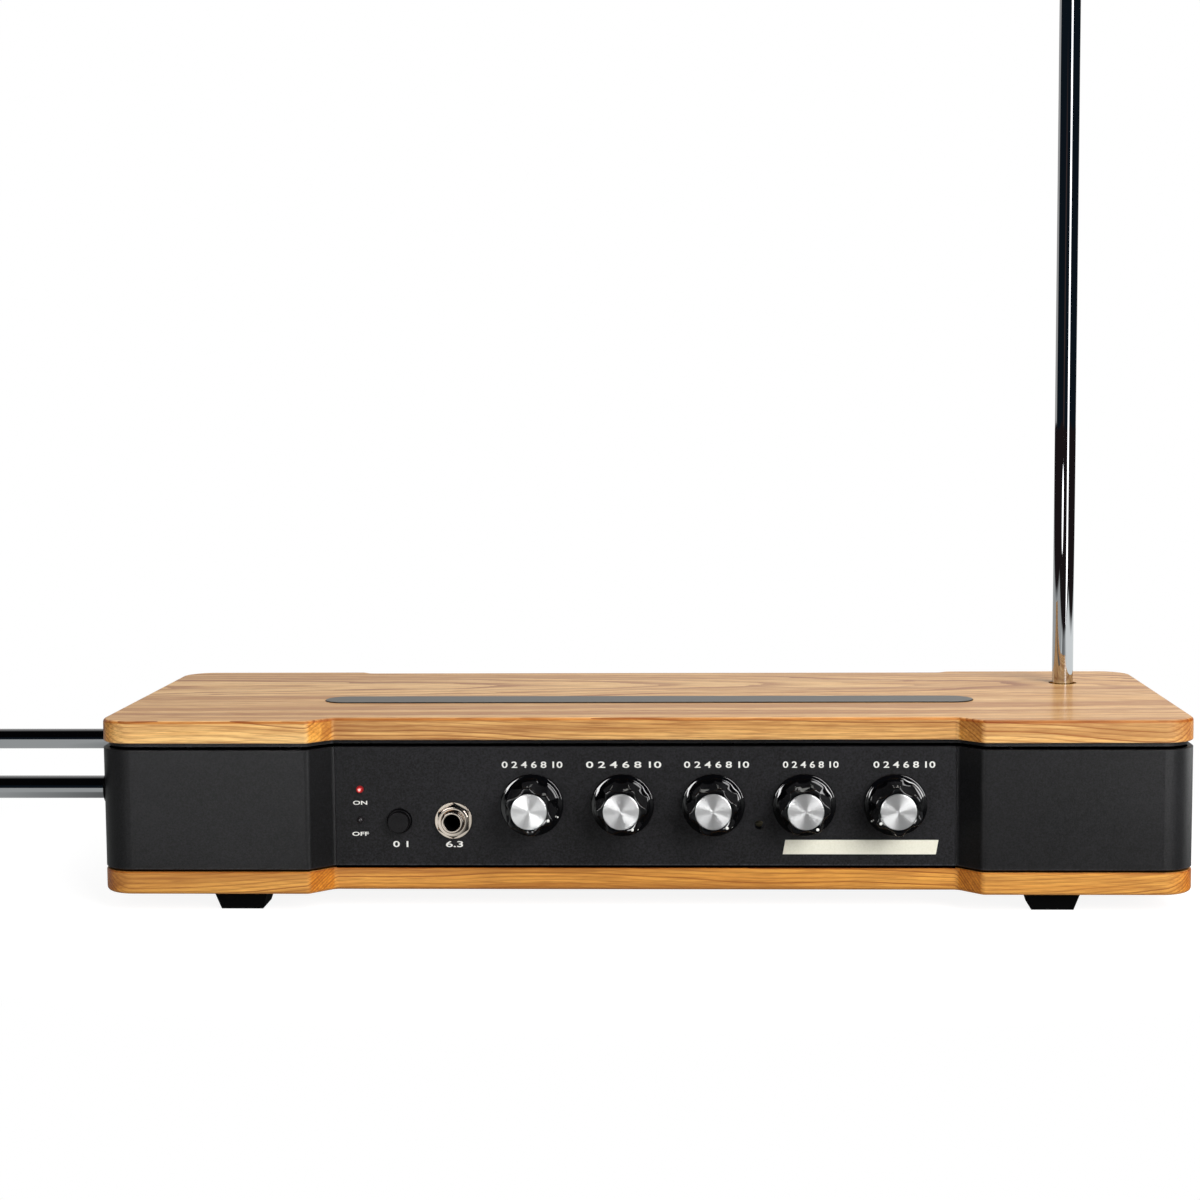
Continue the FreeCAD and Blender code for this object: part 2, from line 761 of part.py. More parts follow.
def make_nameplate():
    body = doc.addObject("PartDesign::Body", "nameplate_body")
    put(body, ("nameplate_middle", PANEL_FACE, "plate_thick + nameplate_low"))
    sketch = sketch_on(body, "nameplate_outline", "XZ_Plane")
    half = "nameplate_length / 2"
    polygon(sketch, [
        (f"-({half}) - nameplate_slant / 2", "0"),
        (f"{half} - nameplate_slant / 2", "0"),
        (f"{half} + nameplate_slant / 2", "nameplate_height"),
        (f"-({half}) + nameplate_slant / 2", "nameplate_height"),
    ])
    pad(body, "nameplate_slab", sketch, "nameplate_thick")
    keep("nameplate", body)


def rear_screw_spots():
    x = f"({REAR_PANEL_HALF} - rear_panel_edge - window_margin / 2)"
    spots = []
    for level, z in (("low", f"{UNDER_SHELL} + 2 * window_margin"), ("high", f"{RIM} - 2 * window_margin")):
        spots.append((f"{level}_left", f"-{x}", z))
        spots.append((f"{level}_right", x, z))
    return spots


def make_rear_panel():
    panel_y = (REAR_PANEL_BACK, REAR_PANEL_FACE)
    panel_z = (f"{UNDER_SHELL} + rear_panel_edge", f"{RIM} - rear_panel_edge")
    sheet = block("rear_sheet", around("0", REAR_PANEL_HALF), panel_y, panel_z)
    rounds = [(f"rear_jack_hole_{k}", "jack_bushing + fit_gap", x, REAR_Z) for k, x in enumerate(REAR_JACKS)]
    rounds.append(("inlet_hole", "inlet_radius + fit_gap", "inlet_x", REAR_Z))
    rounds += [(f"rear_hole_{name}", "rear_screw_radius", x, z) for name, x, z in rear_screw_spots()]
    holes = []
    for name, radius, x, z in rounds:
        holes.append(rod(name, radius, "rear_panel_thick", (x, REAR_PANEL_BACK, z), "+y"))
    half_width = "rocker_width / 2 + rocker_gap + frame_wall + fit_gap"
    half_height = "rocker_height / 2 + rocker_gap + frame_wall + fit_gap"
    holes.append(block("rocker_hole", around("rocker_x", half_width), panel_y, around(REAR_Z, half_height)))
    keep("rear_panel", cut("rear_panel_solid", sheet, holes))
    screws = []
    for name, x, z in rear_screw_spots():
        tip = f"({REAR_PANEL_BACK} - rear_panel_thick)"
        shank = rod(f"rear_shank_{name}", "rear_screw_radius", f"{REAR_FACE} - {tip}", (x, tip, z), "+y")
        head = rod(f"rear_head_{name}", "rear_head_radius", "rear_head_thick", (x, REAR_FACE, z), "+y")
        screws.append(fuse(f"rear_screw_{name}", [head, shank]))
    keep("rear_panel_screws", group("rear_screw_set", screws))


# Dials: each is a fluted knob with a metal cap, pushed on the shaft of a pot


def knob_profile(body, name):
    sketch = sketch_on(body, name, "XZ_Plane")
    skirt_top = "knob_gap + skirt_edge"
    polygon(sketch, [
        ("shaft_radius", "well_depth"),
        ("well_radius", "well_depth"),
        ("well_radius", "knob_gap"),
        ("skirt_radius", "knob_gap"),
        ("skirt_radius", skirt_top),
        ("grip_base_radius", f"{skirt_top} + skirt_slope"),
        ("grip_top_radius", "knob_height - grip_bevel"),
        ("grip_top_radius - grip_bevel", "knob_height"),
        ("cap_radius + fit_gap / 2", "knob_height"),
        ("cap_radius + fit_gap / 2", "knob_height - cap_thick + cap_proud"),
        ("0", "knob_height - cap_thick + cap_proud"),
        ("0", "shaft_reach"),
        ("shaft_radius", "shaft_reach"),
    ])
    return sketch


def make_dial(index, dial):
    body = doc.addObject("PartDesign::Body", f"{dial}_turned")
    turned = revolve(body, f"{dial}_revolution", knob_profile(body, f"{dial}_profile"))
    rim = size("knob_gap") + size("skirt_edge")
    radius = size("skirt_radius")

    def skirt_rim(box):
        return box.ZLength < 0.01 and abs(box.ZMin - rim) < 0.01 and abs(box.XMax - radius) < 0.01

    round_edges(body, f"{dial}_skirt_round", turned, skirt_rim, "skirt_edge / 2")
    low = "knob_gap + skirt_edge + skirt_slope"
    flutes = []
    for k in range(6):
        angle = f"{dial}_angle + {30 + 60 * k}"
        place = (f"flute_circle * cos({angle})", f"flute_circle * sin({angle})", low)
        flutes.append(cone(f"{dial}_flute_{k}", "flute_base", "flute_top", f"knob_height - ({low})", place))
    knob = cut(f"{dial}_fluted", body, flutes)
    place = (dial_x(index), PANEL_FACE, DIAL_Z)
    keep(f"{dial}_knob", put(knob, place, "-y"))

    disc = doc.addObject("PartDesign::Body", f"{dial}_disc")
    sketch = sketch_on(disc, f"{dial}_disc_profile", "XZ_Plane")
    cap_low = "knob_height - cap_thick + cap_proud"
    polygon(sketch, [
        ("0", cap_low),
        ("cap_radius", cap_low),
        ("cap_radius", "knob_height + cap_proud / 3"),
        ("cap_radius - cap_proud", "knob_height + cap_proud"),
        ("0", "knob_height + cap_proud"),
    ])
    revolve(disc, f"{dial}_disc_turned", sketch)
    keep(f"{dial}_cap", put(disc, place, "-y"))

    back = (dial_x(index), f"{PANEL_BACK} + shaft_depth", DIAL_Z)
    length = "shaft_depth + panel_thick + shaft_reach"
    keep(f"{dial}_shaft", rod(f"{dial}_shaft_rod", "shaft_radius", length, back, "-y"))


def make_pots():
    pots = []
    nuts = []
    tag_y = (f"{CONTROL_FACE} - pot_depth / 2", CONTROL_FACE)
    tag_z = (f"{DIAL_Z} - pot_radius - tag_reach", DIAL_Z)
    bore_length = "shaft_depth + running_gap + panel_thick + pot_bushing_reach"
    for k, dial in enumerate(DIALS):
        x = dial_x(k)
        place = (x, PANEL_BACK, DIAL_Z)
        can = rod(f"{dial}_can", "pot_radius", "pot_depth", place, "+y")
        bushing = rod(f"{dial}_bushing", "pot_bushing", "panel_thick + pot_bushing_reach", place, "-y")
        tags = block(f"{dial}_tags", around(x, "tag_half"), tag_y, tag_z)
        bore_place = (x, f"{PANEL_BACK} + shaft_depth + running_gap", DIAL_Z)
        bore = rod(f"{dial}_pot_bore", "shaft_radius + running_gap", bore_length, bore_place, "-y")
        pots.append(cut(f"{dial}_pot", fuse(f"{dial}_pot_blank", [can, bushing, tags]), [bore]))
        nut_place = (x, PANEL_FACE, DIAL_Z)
        nuts.append(nut(f"{dial}_nut", "pot_nut_flats", "pot_nut_thick", "pot_bushing", nut_place, "-y"))
    keep("potentiometers", group("pot_set", pots))
    keep("potentiometer_nuts", group("pot_nut_set", nuts))


# Button, lamps and trimmer


def make_button():
    z = "plate_thick + button_rise"
    body = doc.addObject("PartDesign::Body", "button_turned")
    sketch = sketch_on(body, "button_profile", "XZ_Plane")
    stem_end = "(panel_thick + pot_depth - switch_depth + button_travel)"
    polygon(sketch, [
        ("0", f"-{stem_end}"),
        ("button_stem", f"-{stem_end}"),
        ("button_stem", "-panel_thick / 2"),
        ("button_radius", "-panel_thick / 2"),
        ("button_radius", "button_flange"),
        ("button_cap_radius", "button_flange + button_bevel / 3"),
        ("button_cap_radius", "button_reach - button_bevel"),
        ("button_cap_radius - button_bevel", "button_reach"),
        ("0", "button_reach"),
    ])
    revolve(body, "button_revolution", sketch)
    keep("mute_button", put(body, ("button_x", PANEL_FACE, z), "-y"))
    front = f"{CONTROL_FACE} - switch_depth"
    half = "switch_side / 2"
    case = block("switch_case", around("button_x", half), (front, CONTROL_FACE), around(z, half))
    depth = "2 * button_travel + fit_gap"
    well = rod("switch_well", "button_stem + running_gap", depth, ("button_x", front, z), "+y")
    keep("mute_switch", cut("mute_switch_solid", case, [well]))


def make_lamps():
    lamps = []
    front = f"({PANEL_FACE} - lamp_reach)"
    rim = f"({PANEL_FACE} + lamp_body)"
    for name, rise in (("power_lamp", "power_lamp_rise"), ("mute_lamp", "mute_lamp_rise")):
        z = f"plate_thick + {rise}"
        dome = bind(doc.addObject("Part::Sphere", f"{name}_dome"), Radius="lamp_radius")
        put(dome, ("lamp_x", front, z))
        barrel = rod(f"{name}_barrel", "lamp_radius", "lamp_reach + lamp_body", ("lamp_x", front, z), "+y")
        base = rod(f"{name}_base", "lamp_radius + lamp_rim", "2 * lamp_rim", ("lamp_x", rim, z), "+y")
        pieces = [dome, barrel, base]
        for k, side in enumerate("-+"):
            place = (f"lamp_x {side} lamp_radius / 2", rim, z)
            pieces.append(rod(f"{name}_leg_{k}", "lamp_leg", f"{CONTROL_FACE} - {rim}", place, "+y"))
        lamps.append(fuse(name, pieces))
    keep("panel_lamps", group("lamp_set", lamps))


def make_trimmer():
    z = "plate_thick + trimmer_rise"
    front = f"({CONTROL_FACE} - trimmer_depth)"
    half = "trimmer_side / 2"
    case = block("trimmer_case", around("trimmer_x", half), (front, CONTROL_FACE), around(z, half))
    depth = "rotor_reach / 2"
    well = rod("trimmer_well", "rotor_radius + running_gap", depth, ("trimmer_x", front, z), "+y")
    keep("trimmer_body", cut("trimmer_body_solid", case, [well]))
    tip = f"{front} + {depth} - rotor_reach"
    rotor = rod("rotor_slug", "rotor_radius", "rotor_reach", ("trimmer_x", tip, z), "+y")
    slot_y = (tip, f"{tip} + rotor_slot_depth")
    slot = block("rotor_slot", around("trimmer_x", "rotor_radius"), slot_y, around(z, "rotor_slot_width / 2"))
    keep("trimmer_screw", cut("trimmer_screw_solid", rotor, [slot]))


# Jacks, supply inlet and power rocker


def jack(name, x, back, z, outward, inward):
    """A phone jack: a square body behind a panel, a threaded neck through it and one long bore."""
    half = "jack_body_side / 2"
    panel, tip, end = ("panel_thick", "-", "+") if outward == "-y" else ("rear_panel_thick", "+", "-")
    depth = (back, f"{back} {end} jack_body_depth")
    case = block(f"{name}_case", around(x, half), depth if end == "+" else depth[::-1], around(z, half))
    neck_length = f"({panel} + jack_reach)"
    neck = rod(f"{name}_neck", "jack_bushing", neck_length, (x, back, z), outward)
    bore_length = f"{neck_length} + jack_body_depth - jack_end"
    bore = rod(f"{name}_bore", "jack_bore", bore_length, (x, f"{back} {tip} {neck_length}", z), inward)
    return cut(name, fuse(f"{name}_blank", [case, neck]), [bore])


def make_jacks():
    z = "(plate_thick + jack_rise)"
    place = ("jack_x", PANEL_FACE, z)
    keep("phones_jack", jack("phones_jack_piece", "jack_x", PANEL_BACK, z, "-y", "+y"))
    disc = rod("washer_disc", "washer_radius", "washer_thick", place, "-y")
    bore = rod("washer_bore", "jack_bushing", "washer_thick", place, "-y")
    keep("phones_jack_washer", cut("phones_washer", disc, [bore]))
    nut_place = ("jack_x", f"{PANEL_FACE} - washer_thick", z)
    nut_sizes = ("jack_nut_flats", "jack_nut_thick", "jack_bushing")
    keep("phones_jack_nut", nut("phones_nut", *nut_sizes, nut_place, "-y", spin=30))
    jacks = [jack(f"rear_jack_{k}", x, REAR_PANEL_BACK, REAR_Z, "+y", "-y") for k, x in enumerate(REAR_JACKS)]
    keep("rear_jacks", group("rear_jack_set", jacks))
    places = [(x, REAR_PANEL_FACE, REAR_Z) for x in REAR_JACKS]
    nuts = [nut(f"rear_nut_{k}", *nut_sizes, place, "+y", spin=30) for k, place in enumerate(places)]
    inlet_place = ("inlet_x", REAR_PANEL_FACE, REAR_Z)
    nuts.append(nut("inlet_nut", "inlet_nut_flats", "inlet_nut_thick", "inlet_radius", inlet_place, "+y"))
    keep("rear_nuts", group("rear_nut_set", nuts))


def make_inlet():
    seat = ("inlet_x", REAR_PANEL_BACK, REAR_Z)
    mouth = f"{REAR_PANEL_FACE} + inlet_reach"
    case = rod("inlet_case", "inlet_radius + inlet_rim", "inlet_depth", seat, "-y")
    neck = rod("inlet_neck", "inlet_radius", "rear_panel_thick + inlet_reach", seat, "+y")
    bore = rod("inlet_hole_cut", "inlet_bore", "inlet_depth", ("inlet_x", mouth, REAR_Z), "-y")
    pin_place = ("inlet_x", f"{mouth} - inlet_reach / 2", REAR_Z)
    pin = rod("inlet_centre_pin", "inlet_pin", "inlet_depth", pin_place, "-y")
    hollow = cut("inlet_hollow", fuse("inlet_blank", [case, neck]), [bore])
    keep("power_inlet", fuse("power_inlet_solid", [hollow, pin]))


def make_rocker():
    half_x = "rocker_width / 2 + rocker_gap"
    half_z = "rocker_height / 2 + rocker_gap"
    face = f"({REAR_PANEL_FACE} + frame_thick)"
    pivot = f"({face} - rocker_depth / 2)"
    border = (around("rocker_x", f"{half_x} + frame_border"), around(REAR_Z, f"{half_z} + frame_border"))
    flange = block("frame_flange", border[0], (REAR_PANEL_FACE, face), border[1])
    box = (around("rocker_x", f"{half_x} + frame_wall"), around(REAR_Z, f"{half_z} + frame_wall"))
    case = block("frame_case", box[0], (f"{REAR_PANEL_FACE} - frame_depth", REAR_PANEL_FACE), box[1])
    well_y = (f"{face} - rocker_depth - rocker_floor", face)
    well = block("frame_well", around("rocker_x", half_x), well_y, around(REAR_Z, half_z))
    reach = f"({half_x} + pivot_bite)"
    pivot_place = (f"rocker_x - {reach}", pivot, REAR_Z)
    pivot_hole = rod("pivot_hole", "pivot_radius + running_gap", f"2 * {reach}", pivot_place, "+x")
    frame = fuse("frame_blank", [flange, case])
    keep("rocker_frame", cut("rocker_frame_solid", frame, [well, pivot_hole]))

    # The rocker turns about a pin through its middle; its face is two flats that meet there.
    pin = rod("pivot_pin", "pivot_radius", f"2 * {reach}", pivot_place, "+x")
    body = doc.addObject("PartDesign::Body", "rocker_body")
    sketch = sketch_on(body, "rocker_profile", "YZ_Plane")
    half = "(rocker_height / 2 - rocker_gap)"
    lift = f"({half} * tan(rocker_tilt))"
    polygon(sketch, [
        ("-rocker_depth / 3", f"rocker_slope - {half}"),
        ("rocker_depth / 3", f"-{half}"),
        (f"rocker_depth / 2 + {lift}", f"-{half}"),
        ("rocker_depth / 2", "0"),
        (f"rocker_depth / 2 + {lift}", half),
        ("rocker_depth / 3", half),
        ("-rocker_depth / 3", f"{half} - rocker_slope"),
    ])
    slab = pad(body, "rocker_slab", sketch, "rocker_width")
    slab.Midplane = True
    put(body, ("rocker_x", pivot, REAR_Z))
    body.Placement.Rotation = Rotation(Vector(-1, 0, 0), size("rocker_tilt"))
    keep("power_rocker", fuse("power_rocker_solid", [body, pin]))


# Boards and what they carry


def board_spots():
    """Where the main board's screws are; the middle pair stands clear of the stand flange."""
    spots = []
    middle = f"({BOARD_LEFT} + {BOARD_RIGHT}) / 2 + flange_radius"
    left = f"{BOARD_LEFT} + board_inset"
    right = f"{BOARD_RIGHT} - board_inset"
    for x_name, x in (("left", left), ("middle", middle), ("right", right)):
        spots.append((f"{x_name}_front", x, f"{BOARD_FRONT} + board_inset"))
        spots.append((f"{x_name}_back", x, f"{BOARD_BACK} - board_inset"))
    return spots


def make_main_board():
    low = "(plate_thick + standoff_height)"
    sheet = block("board_sheet", (BOARD_LEFT, BOARD_RIGHT), (BOARD_FRONT, BOARD_BACK), (low, BOARD_FACE))
    holes = []
    standoffs = []
    screws = []
    for name, x, y in board_spots():
        holes.append(rod(f"board_hole_{name}", "board_screw_radius", "board_thick", (x, y, low)))
        post = rod(f"standoff_post_{name}", "standoff_radius", "standoff_height", (x, y, UNDER_SHELL))
        bore = rod(f"standoff_bore_{name}", "board_screw_radius", "standoff_height", (x, y, UNDER_SHELL))
        standoffs.append(cut(f"standoff_{name}", post, [bore]))
        length = "board_thick + standoff_height / 2"
        shank = rod(f"board_shank_{name}", "board_screw_radius", length, (x, y, BOARD_FACE), "-z")
        head = rod(f"board_head_{name}", "board_head_radius", "board_thick", (x, y, BOARD_FACE))
        screws.append(fuse(f"board_screw_{name}", [head, shank]))
    keep("main_board", cut("main_board_solid", sheet, holes))
    keep("board_standoffs", group("standoff_set", standoffs))
    keep("board_screws", group("board_screw_set", screws))


def make_control_board():
    sheet_y = (CONTROL_FACE, f"{CONTROL_FACE} + board_thick")
    sheet_z = (f"{UNDER_SHELL} + control_margin", f"{RIM} - control_margin")
    sheet = block("control_sheet", around("0", f"{PANEL_HALF} - control_inset"), sheet_y, sheet_z)
    half = "jack_body_side / 2 + fit_gap"
    gap = block("control_jack_gap", around("jack_x", half), sheet_y, around("plate_thick + jack_rise", half))
    keep("control_board", cut("control_board_solid", sheet, [gap]))


def make_board_parts():
    coils = []
    left = f"{BOARD_LEFT} + coil_inset"
    right = f"{BOARD_RIGHT} - coil_inset"
    top = f"{BOARD_FACE} + coil_height - coil_flange"
    for k, x in enumerate((left, f"{left} + coil_pitch", f"{right} - coil_pitch", right)):
        core = rod(f"coil_core_{k}", "coil_core", "coil_height", (x, "0", BOARD_FACE))
        low_end = rod(f"coil_low_end_{k}", "coil_radius", "coil_flange", (x, "0", BOARD_FACE))
        high_end = rod(f"coil_high_end_{k}", "coil_radius", "coil_flange", (x, "0", top))
        coils.append(fuse(f"coil_{k}", [core, low_end, high_end]))
    keep("tuning_coils", group("coil_set", coils))
    chips = []
    for k in range(4):
        x = around(f"(chip_first + {k} * chip_pitch)", "chip_length / 2")
        y = around("chip_y", "chip_width / 2")
        chips.append(block(f"chip_{k}", x, y, (BOARD_FACE, f"{BOARD_FACE} + chip_thick")))
    keep("circuit_chips", group("chip_set", chips))
    cans = []
    for k in range(5):
        place = (f"can_first + {k} * can_pitch", f"{BOARD_BACK} - can_inset", BOARD_FACE)
        cans.append(rod(f"can_{k}", "can_radius", "can_height", place))
    keep("capacitors", group("can_set", cans))


def make_ribbon():
    """The flat cable between the boards, with the plug at each of its ends."""
    high = f"({DIAL_Z} + ribbon_lift)"
    x = "(dial_middle + 1.5 * dial_pitch)"
    y = f"({BOARD_FRONT} + plug_inset)"
    back = f"({CONTROL_FACE} + board_thick)"
    half = "plug_side / 2"
    plug_x = around(x, "plug_length / 2")
    upper = block("control_plug", plug_x, (back, f"{back} + plug_side"), around(high, half))
    lower = block("board_plug", plug_x, around(y, half), (BOARD_FACE, f"{BOARD_FACE} + plug_side"))
    body = doc.addObject("PartDesign::Body", "ribbon_body")
    sketch = sketch_on(body, "ribbon_profile", "YZ_Plane")
    thin = "ribbon_thick / 2"
    polygon(sketch, [
        (f"{back} + plug_side", f"{high} - {thin}"),
        (f"{y} - {thin}", f"{high} - {thin}"),
        (f"{y} - {thin}", f"{BOARD_FACE} + plug_side"),
        (f"{y} + {thin}", f"{BOARD_FACE} + plug_side"),
        (f"{y} + {thin}", f"{high} + {thin}"),
        (f"{back} + plug_side", f"{high} + {thin}"),
    ])
    slab = pad(body, "ribbon_slab", sketch, "ribbon_width")
    slab.Midplane = True
    put(body, (x, "0", "0"))
    keep("ribbon_cable", fuse("ribbon_cable_solid", [upper, lower, body]))


# Antennas


def make_pitch_antenna():
    low = f"({UNDER_SHELL} + socket_floor)"
    body = doc.addObject("PartDesign::Body", "rod_body")
    sketch = sketch_on(body, "rod_profile", "XZ_Plane")
    inner = "antenna_radius - antenna_wall"
    polygon(sketch, [
        (inner, "0"),
        ("antenna_radius", "0"),
        ("antenna_radius", "rod_length - rod_cap_round"),
        ("antenna_radius - rod_cap_round", "rod_length"),
        ("0", "rod_length"),
        ("0", "rod_length - 2 * rod_cap_round"),
        (inner, "rod_length - 2 * rod_cap_round"),
    ])
    revolve(body, "rod_revolution", sketch)
    keep("pitch_antenna", put(body, (ROD_X, ROD_Y, low)))

    outer = "antenna_radius + antenna_gap + socket_wall"
    height = f"{RIM} - {UNDER_SHELL}"
    place = (ROD_X, ROD_Y, UNDER_SHELL)
    tube = rod("socket_tube", outer, height, place)
    base = rod("socket_base", "socket_base_radius", "socket_base_thick", place)
    bore = rod("socket_bore", "antenna_radius + antenna_gap", height, (ROD_X, ROD_Y, low))
    blank = fuse("socket_blank", [tube, base])
    keep("pitch_socket", cut("pitch_socket_solid", blank, [bore] + screw_holes("socket")))


def loop_shape(name, radius, overrun):
    """The loop as one thick wire: two legs, two bends and a far bar."""
    far = f"(-{HALF_WIDTH} - loop_reach)"
    leg_end = f"(-{HALF_WIDTH} + loop_insert + {overrun})"
    bend_x = f"({far} + loop_bend)"
    bend_y = f"({LEG_Y} - loop_bend)"
    pieces = [rod(f"{name}_bar", radius, f"2 * {bend_y}", (far, f"-{bend_y}", LOOP_Z), "+y")]
    for side, y in LOOP_LEGS:
        pieces.append(rod(f"{name}_leg_{side}", radius, f"{leg_end} - {bend_x}", (bend_x, y, LOOP_Z), "+x"))
        bend = doc.addObject("Part::Torus", f"{name}_bend_{side}")
        bind(bend, Radius1="loop_bend", Radius2=radius)
        bend.Angle3 = 90
        front = side == "front"
        put(bend, (bend_x, f"-{bend_y}" if front else bend_y, LOOP_Z))
        bend.Placement.Rotation = Rotation(Vector(0, 0, 1), 180 if front else 90)
        pieces.append(bend)
    return fuse(name, pieces)


def make_volume_antenna():
    outer = loop_shape("loop_outer", "antenna_radius", "0")
    inner = loop_shape("loop_inner", "antenna_radius - antenna_wall", "antenna_wall")
    keep("volume_antenna", cut("volume_antenna_solid", outer, [inner]))


def make_loop_holders():
    """Bushings in the case's side, and the sleeves and bracket inside that hold the loop."""
    sockets = []
    bushings = []
    holes = screw_holes("bracket")
    bore_radius = "antenna_radius + antenna_gap"
    sleeve_radius = f"{bore_radius} + socket_wall"
    mouth = f"({BRACKET_X} - collar_length)"
    length = f"(loop_insert + sleeve_end - {HALF_WIDTH} - {mouth})"
    for side, y in LOOP_LEGS:
        place = (mouth, y, LOOP_Z)
        tube = rod(f"sleeve_{side}", sleeve_radius, length, place, "+x")
        collar = rod(f"collar_{side}", f"{sleeve_radius} + collar_lip", "collar_length", place, "+x")
        bore = rod(f"sleeve_bore_{side}", bore_radius, f"{length} - sleeve_end", place, "+x")
        sockets.append(cut(f"volume_socket_{side}", fuse(f"sleeve_blank_{side}", [tube, collar]), [bore]))
        place = (BRACKET_X, y, LOOP_Z)
        holes.append(rod(f"bracket_hole_{side}", sleeve_radius, "bracket_thick", place, "+x"))
        place = (f"-{HALF_WIDTH}", y, LOOP_Z)
        ring = rod(f"bushing_ring_{side}", "antenna_radius + loop_hole_gap", "wall", place, "+x")
        hole = rod(f"bushing_bore_{side}", bore_radius, "wall", place, "+x")
        bushings.append(cut(f"bushing_{side}", ring, [hole]))
    keep("volume_sockets", group("volume_socket_set", sockets))
    keep("loop_bushings", group("bushing_set", bushings))
    span = around("0", f"{LEG_Y} + {sleeve_radius} + collar_lip")
    top = f"{LOOP_Z} + {sleeve_radius} + collar_lip"
    upright = block("bracket_upright", (BRACKET_X, f"{BRACKET_X} + bracket_thick"), span, (UNDER_SHELL, top))
    foot_x = (BRACKET_X, f"{BRACKET_X} + bracket_foot")
    foot = block("bracket_base", foot_x, span, (UNDER_SHELL, f"{UNDER_SHELL} + bracket_thick"))
    keep("volume_bracket", cut("volume_bracket_solid", fuse("bracket_blank", [upright, foot]), holes))


def make_antenna_leads():
    """A lead from each antenna's holder down to the main board, bent round once."""
    radius = size("lead_radius")
    bend = size("lead_bend")
    half_width = size("case_width") / 2
    rod_y = size("case_depth") / 2 - size("rod_inset_y")
    socket_radius = size("antenna_radius") + size("antenna_gap") + size("socket_wall")
    socket_x = half_width - size("rod_inset_x") - socket_radius
    bracket_x = size("bracket_inset") + size("bracket_thick") - half_width
    right_x = half_width - size("board_right_gap") - size("lead_inset")
    left_x = size("board_left_gap") + size("lead_inset") - half_width
    face = size("plate_thick") + size("standoff_height") + size("board_thick")
    height = face + size("lead_lift")
    pieces = []
    for start_x, corner_x, y in ((socket_x, right_x, rod_y), (bracket_x, left_x, 0)):
        start = Vector(start_x, y, height)
        corner = Vector(corner_x, y, height)
        toward = (corner - start).normalize()
        turn_in = corner - toward * bend
        turn_out = corner - Vector(0, 0, bend)
        middle = corner - toward * bend * (1 - math.sqrt(0.5)) - Vector(0, 0, bend * (1 - math.sqrt(0.5)))
        end = Vector(corner.x, corner.y, face)
        edges = [
            Part.LineSegment(start, turn_in).toShape(),
            Part.Arc(turn_in, middle, turn_out).toShape(),
            Part.LineSegment(turn_out, end).toShape(),
        ]
        path = Part.Wire(edges)
        section = Part.Wire([Part.Circle(start, toward, radius).toShape()])
        pieces.append(path.makePipeShell([section], True, False))
    leads = doc.addObject("Part::Feature", "lead_set")
    leads.Shape = Part.makeCompound(pieces)
    keep("antenna_leads", leads)


make_top_plate()
make_inlay_strip()
make_top_liner()
make_body_shell()
make_bottom_plate()
make_case_fixings()
make_wood_screws()
make_feet()
make_stand_flange()
make_front_panel()
make_nameplate()
make_rear_panel()
for number, dial_name in enumerate(DIALS):
    make_dial(number, dial_name)
make_pots()
make_button()
make_lamps()
make_trimmer()
make_jacks()
make_inlet()
make_rocker()
make_main_board()
make_control_board()
make_board_parts()
make_ribbon()
make_pitch_antenna()
make_volume_antenna()
make_loop_holders()
make_antenna_leads()
doc.recompute()

faults = [thing.Name for thing in doc.Objects if {"Invalid", "Error"} & set(thing.State)]
for label, thing in sub_parts.items():
    if thing.Shape.isNull() or not thing.Shape.isValid() or not thing.Shape.Solids:
        faults.append(label)
if faults:
    raise RuntimeError("these did not build: " + ", ".join(faults))

os.makedirs("parts", exist_ok=True)
for label, thing in sub_parts.items():
    thing.Shape.exportStep(f"parts/{label}.step")
print(len(sub_parts), "sub-parts written")
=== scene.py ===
import itertools
import math

import bmesh
import bpy
from mathutils import Matrix, Quaternion, Vector


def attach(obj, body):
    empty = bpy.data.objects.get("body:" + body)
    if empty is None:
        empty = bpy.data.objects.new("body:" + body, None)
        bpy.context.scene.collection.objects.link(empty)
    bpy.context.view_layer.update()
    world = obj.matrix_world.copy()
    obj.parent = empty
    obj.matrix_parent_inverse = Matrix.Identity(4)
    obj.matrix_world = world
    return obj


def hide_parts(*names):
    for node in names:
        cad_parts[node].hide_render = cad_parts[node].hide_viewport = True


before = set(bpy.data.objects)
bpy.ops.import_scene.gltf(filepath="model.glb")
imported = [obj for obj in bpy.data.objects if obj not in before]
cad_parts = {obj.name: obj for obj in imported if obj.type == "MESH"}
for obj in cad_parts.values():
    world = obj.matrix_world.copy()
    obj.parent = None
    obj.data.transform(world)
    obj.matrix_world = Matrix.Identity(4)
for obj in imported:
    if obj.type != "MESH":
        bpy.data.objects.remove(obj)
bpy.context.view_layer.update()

# Sizes in millimetres, as the solids have them. X is to the right, Y away and Z up.
MM = 0.001
HALF_W, HALF_D = 228.5, 82.5
CORNER_R, STEP_R = 14.0, 3.5
# Where the outline steps back: the outer and the inner end of the slope, in front and behind.
FRONT_STEP, REAR_STEP = (140.1, 130.5), (141.3, 137.5)
PLATE = 9.5
INNER_ARRIS, OUTER_ARRIS = 0.6, 1.6
BOSS_R, ROD_HOLE_R = 11.0, 6.3
SCREWS = ((-148.1, -76.5), (-148.1, 76.5), (148.1, -76.5), (148.1, 76.5))
SCREWS += ((-222.5, 0.0), (222.5, 0.0))
RIM_Z = 60.9
TOP_LOW, TOP_HIGH = 63.7, 73.2
PANEL_Y, REAR_Y = -72.9, 78.7
PRINT_Y = PANEL_Y - 0.03
STRIP_REACH, STRIP_R, STRIP_Y = 133.5, 9.5, -18.9
STRIP_BED, STRIP_TOP = TOP_HIGH - 1.5, TOP_HIGH + 0.5
BUTTON_X, BUTTON_Z = -103.2, 29.4
LAMP_X = -119.7
